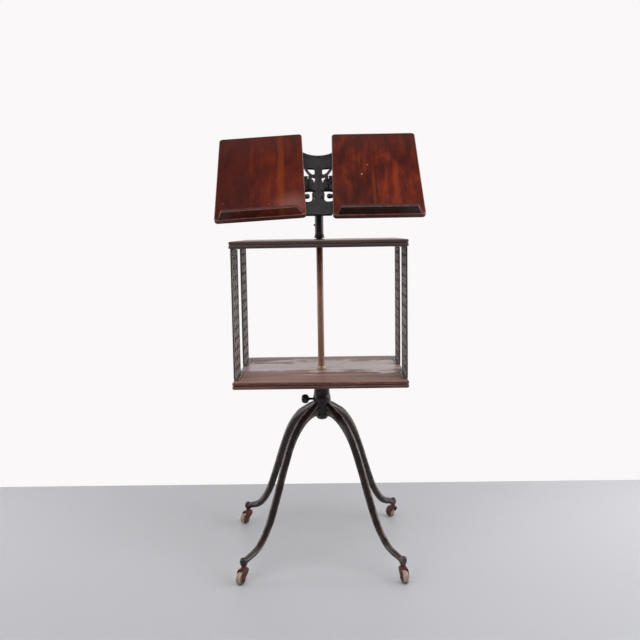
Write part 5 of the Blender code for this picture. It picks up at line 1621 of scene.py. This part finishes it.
def stand_camera(scene):
    """The camera, turned by its pan, then down, then rolled about its line of sight."""
    lens = bpy.data.cameras.new("camera")
    lens.sensor_fit = "HORIZONTAL"
    lens.sensor_width = SENSOR_MM
    lens.lens = SENSOR_MM * FOCAL_PX / PICTURE_PX
    camera = bpy.data.objects.new("camera", lens)
    pan, down, roll = (radians(angle) for angle in (CAMERA_PAN, CAMERA_DOWN, CAMERA_ROLL))
    forward = Vector((np.sin(pan) * np.cos(down), np.cos(pan) * np.cos(down), -np.sin(down)))
    right = Vector((np.cos(pan), -np.sin(pan), 0.0))
    up = right.cross(forward)
    rolled_right = np.cos(roll) * right + np.sin(roll) * up
    rolled_up = -np.sin(roll) * right + np.cos(roll) * up
    axes = Matrix((rolled_right, rolled_up, -forward)).transposed().to_4x4()
    camera.matrix_world = Matrix.Translation(CAMERA_PLACE) @ axes
    scene.collection.objects.link(camera)
    scene.camera = camera


class BOOKSTAND_OT_stage(bpy.types.Operator):
    """Add the floor, the backdrop, the soft lights and the camera"""
    bl_idname = "bookstand.stage"
    bl_label = "Stage"

    def execute(self, context):
        scene = context.scene
        colours = scene.bookstand_colours
        left, right = -FLOOR_HALF, FLOOR_HALF
        front, back = left, right
        flat_sheet("floor", [(left, front, 0), (right, front, 0), (right, back, 0),
                             (left, back, 0)],
                   stage_finish("painted_floor", colours.floor, 0.45, False))
        flat_sheet("backdrop", [(left, BACKDROP_Y, 0), (right, BACKDROP_Y, 0),
                                (right, BACKDROP_Y, BACKDROP_H), (left, BACKDROP_Y, BACKDROP_H)],
                   stage_finish("matt_backdrop", colours.backdrop, 0.9, True))
        for lamp in SOFTBOXES:
            softbox(*lamp)
        light_room(scene, colours.backdrop)
        stand_camera(scene)
        scene.view_settings.view_transform = "Standard"
        return {"FINISHED"}


STEPS = ("legs", "casters", "hub", "column", "case", "panels", "head", "plate", "leaves", "stage")


class BOOKSTAND_PT_panel(bpy.types.Panel):
    """Lists the bookstand's pieces, sizes and colours"""
    bl_idname = "BOOKSTAND_PT_panel"
    bl_label = "Bookstand"
    bl_space_type = "VIEW_3D"
    bl_region_type = "UI"
    bl_category = "Bookstand"

    def draw(self, context):
        column = self.layout.column(align=True)
        for step in STEPS:
            column.operator("bookstand." + step)
        for group in (context.scene.bookstand_sizes, context.scene.bookstand_colours):
            for name in group.__annotations__:
                self.layout.prop(group, name)


CLASSES = (
    BookstandSizes, BookstandColours, BOOKSTAND_OT_legs, BOOKSTAND_OT_casters, BOOKSTAND_OT_hub,
    BOOKSTAND_OT_column, BOOKSTAND_OT_case, BOOKSTAND_OT_panels, BOOKSTAND_OT_head,
    BOOKSTAND_OT_plate, BOOKSTAND_OT_leaves, BOOKSTAND_OT_stage, BOOKSTAND_PT_panel,
)


def register():
    for cls in CLASSES:
        bpy.utils.register_class(cls)
    bpy.types.Scene.bookstand_sizes = bpy.props.PointerProperty(type=BookstandSizes)
    bpy.types.Scene.bookstand_colours = bpy.props.PointerProperty(type=BookstandColours)


def unregister():
    del bpy.types.Scene.bookstand_colours
    del bpy.types.Scene.bookstand_sizes
    for cls in reversed(CLASSES):
        bpy.utils.unregister_class(cls)


def main():
    """Add every piece and the stage."""
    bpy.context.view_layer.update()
    register()
    for step in STEPS:
        getattr(bpy.ops.bookstand, step)()


if __name__ == "__main__":
    main()
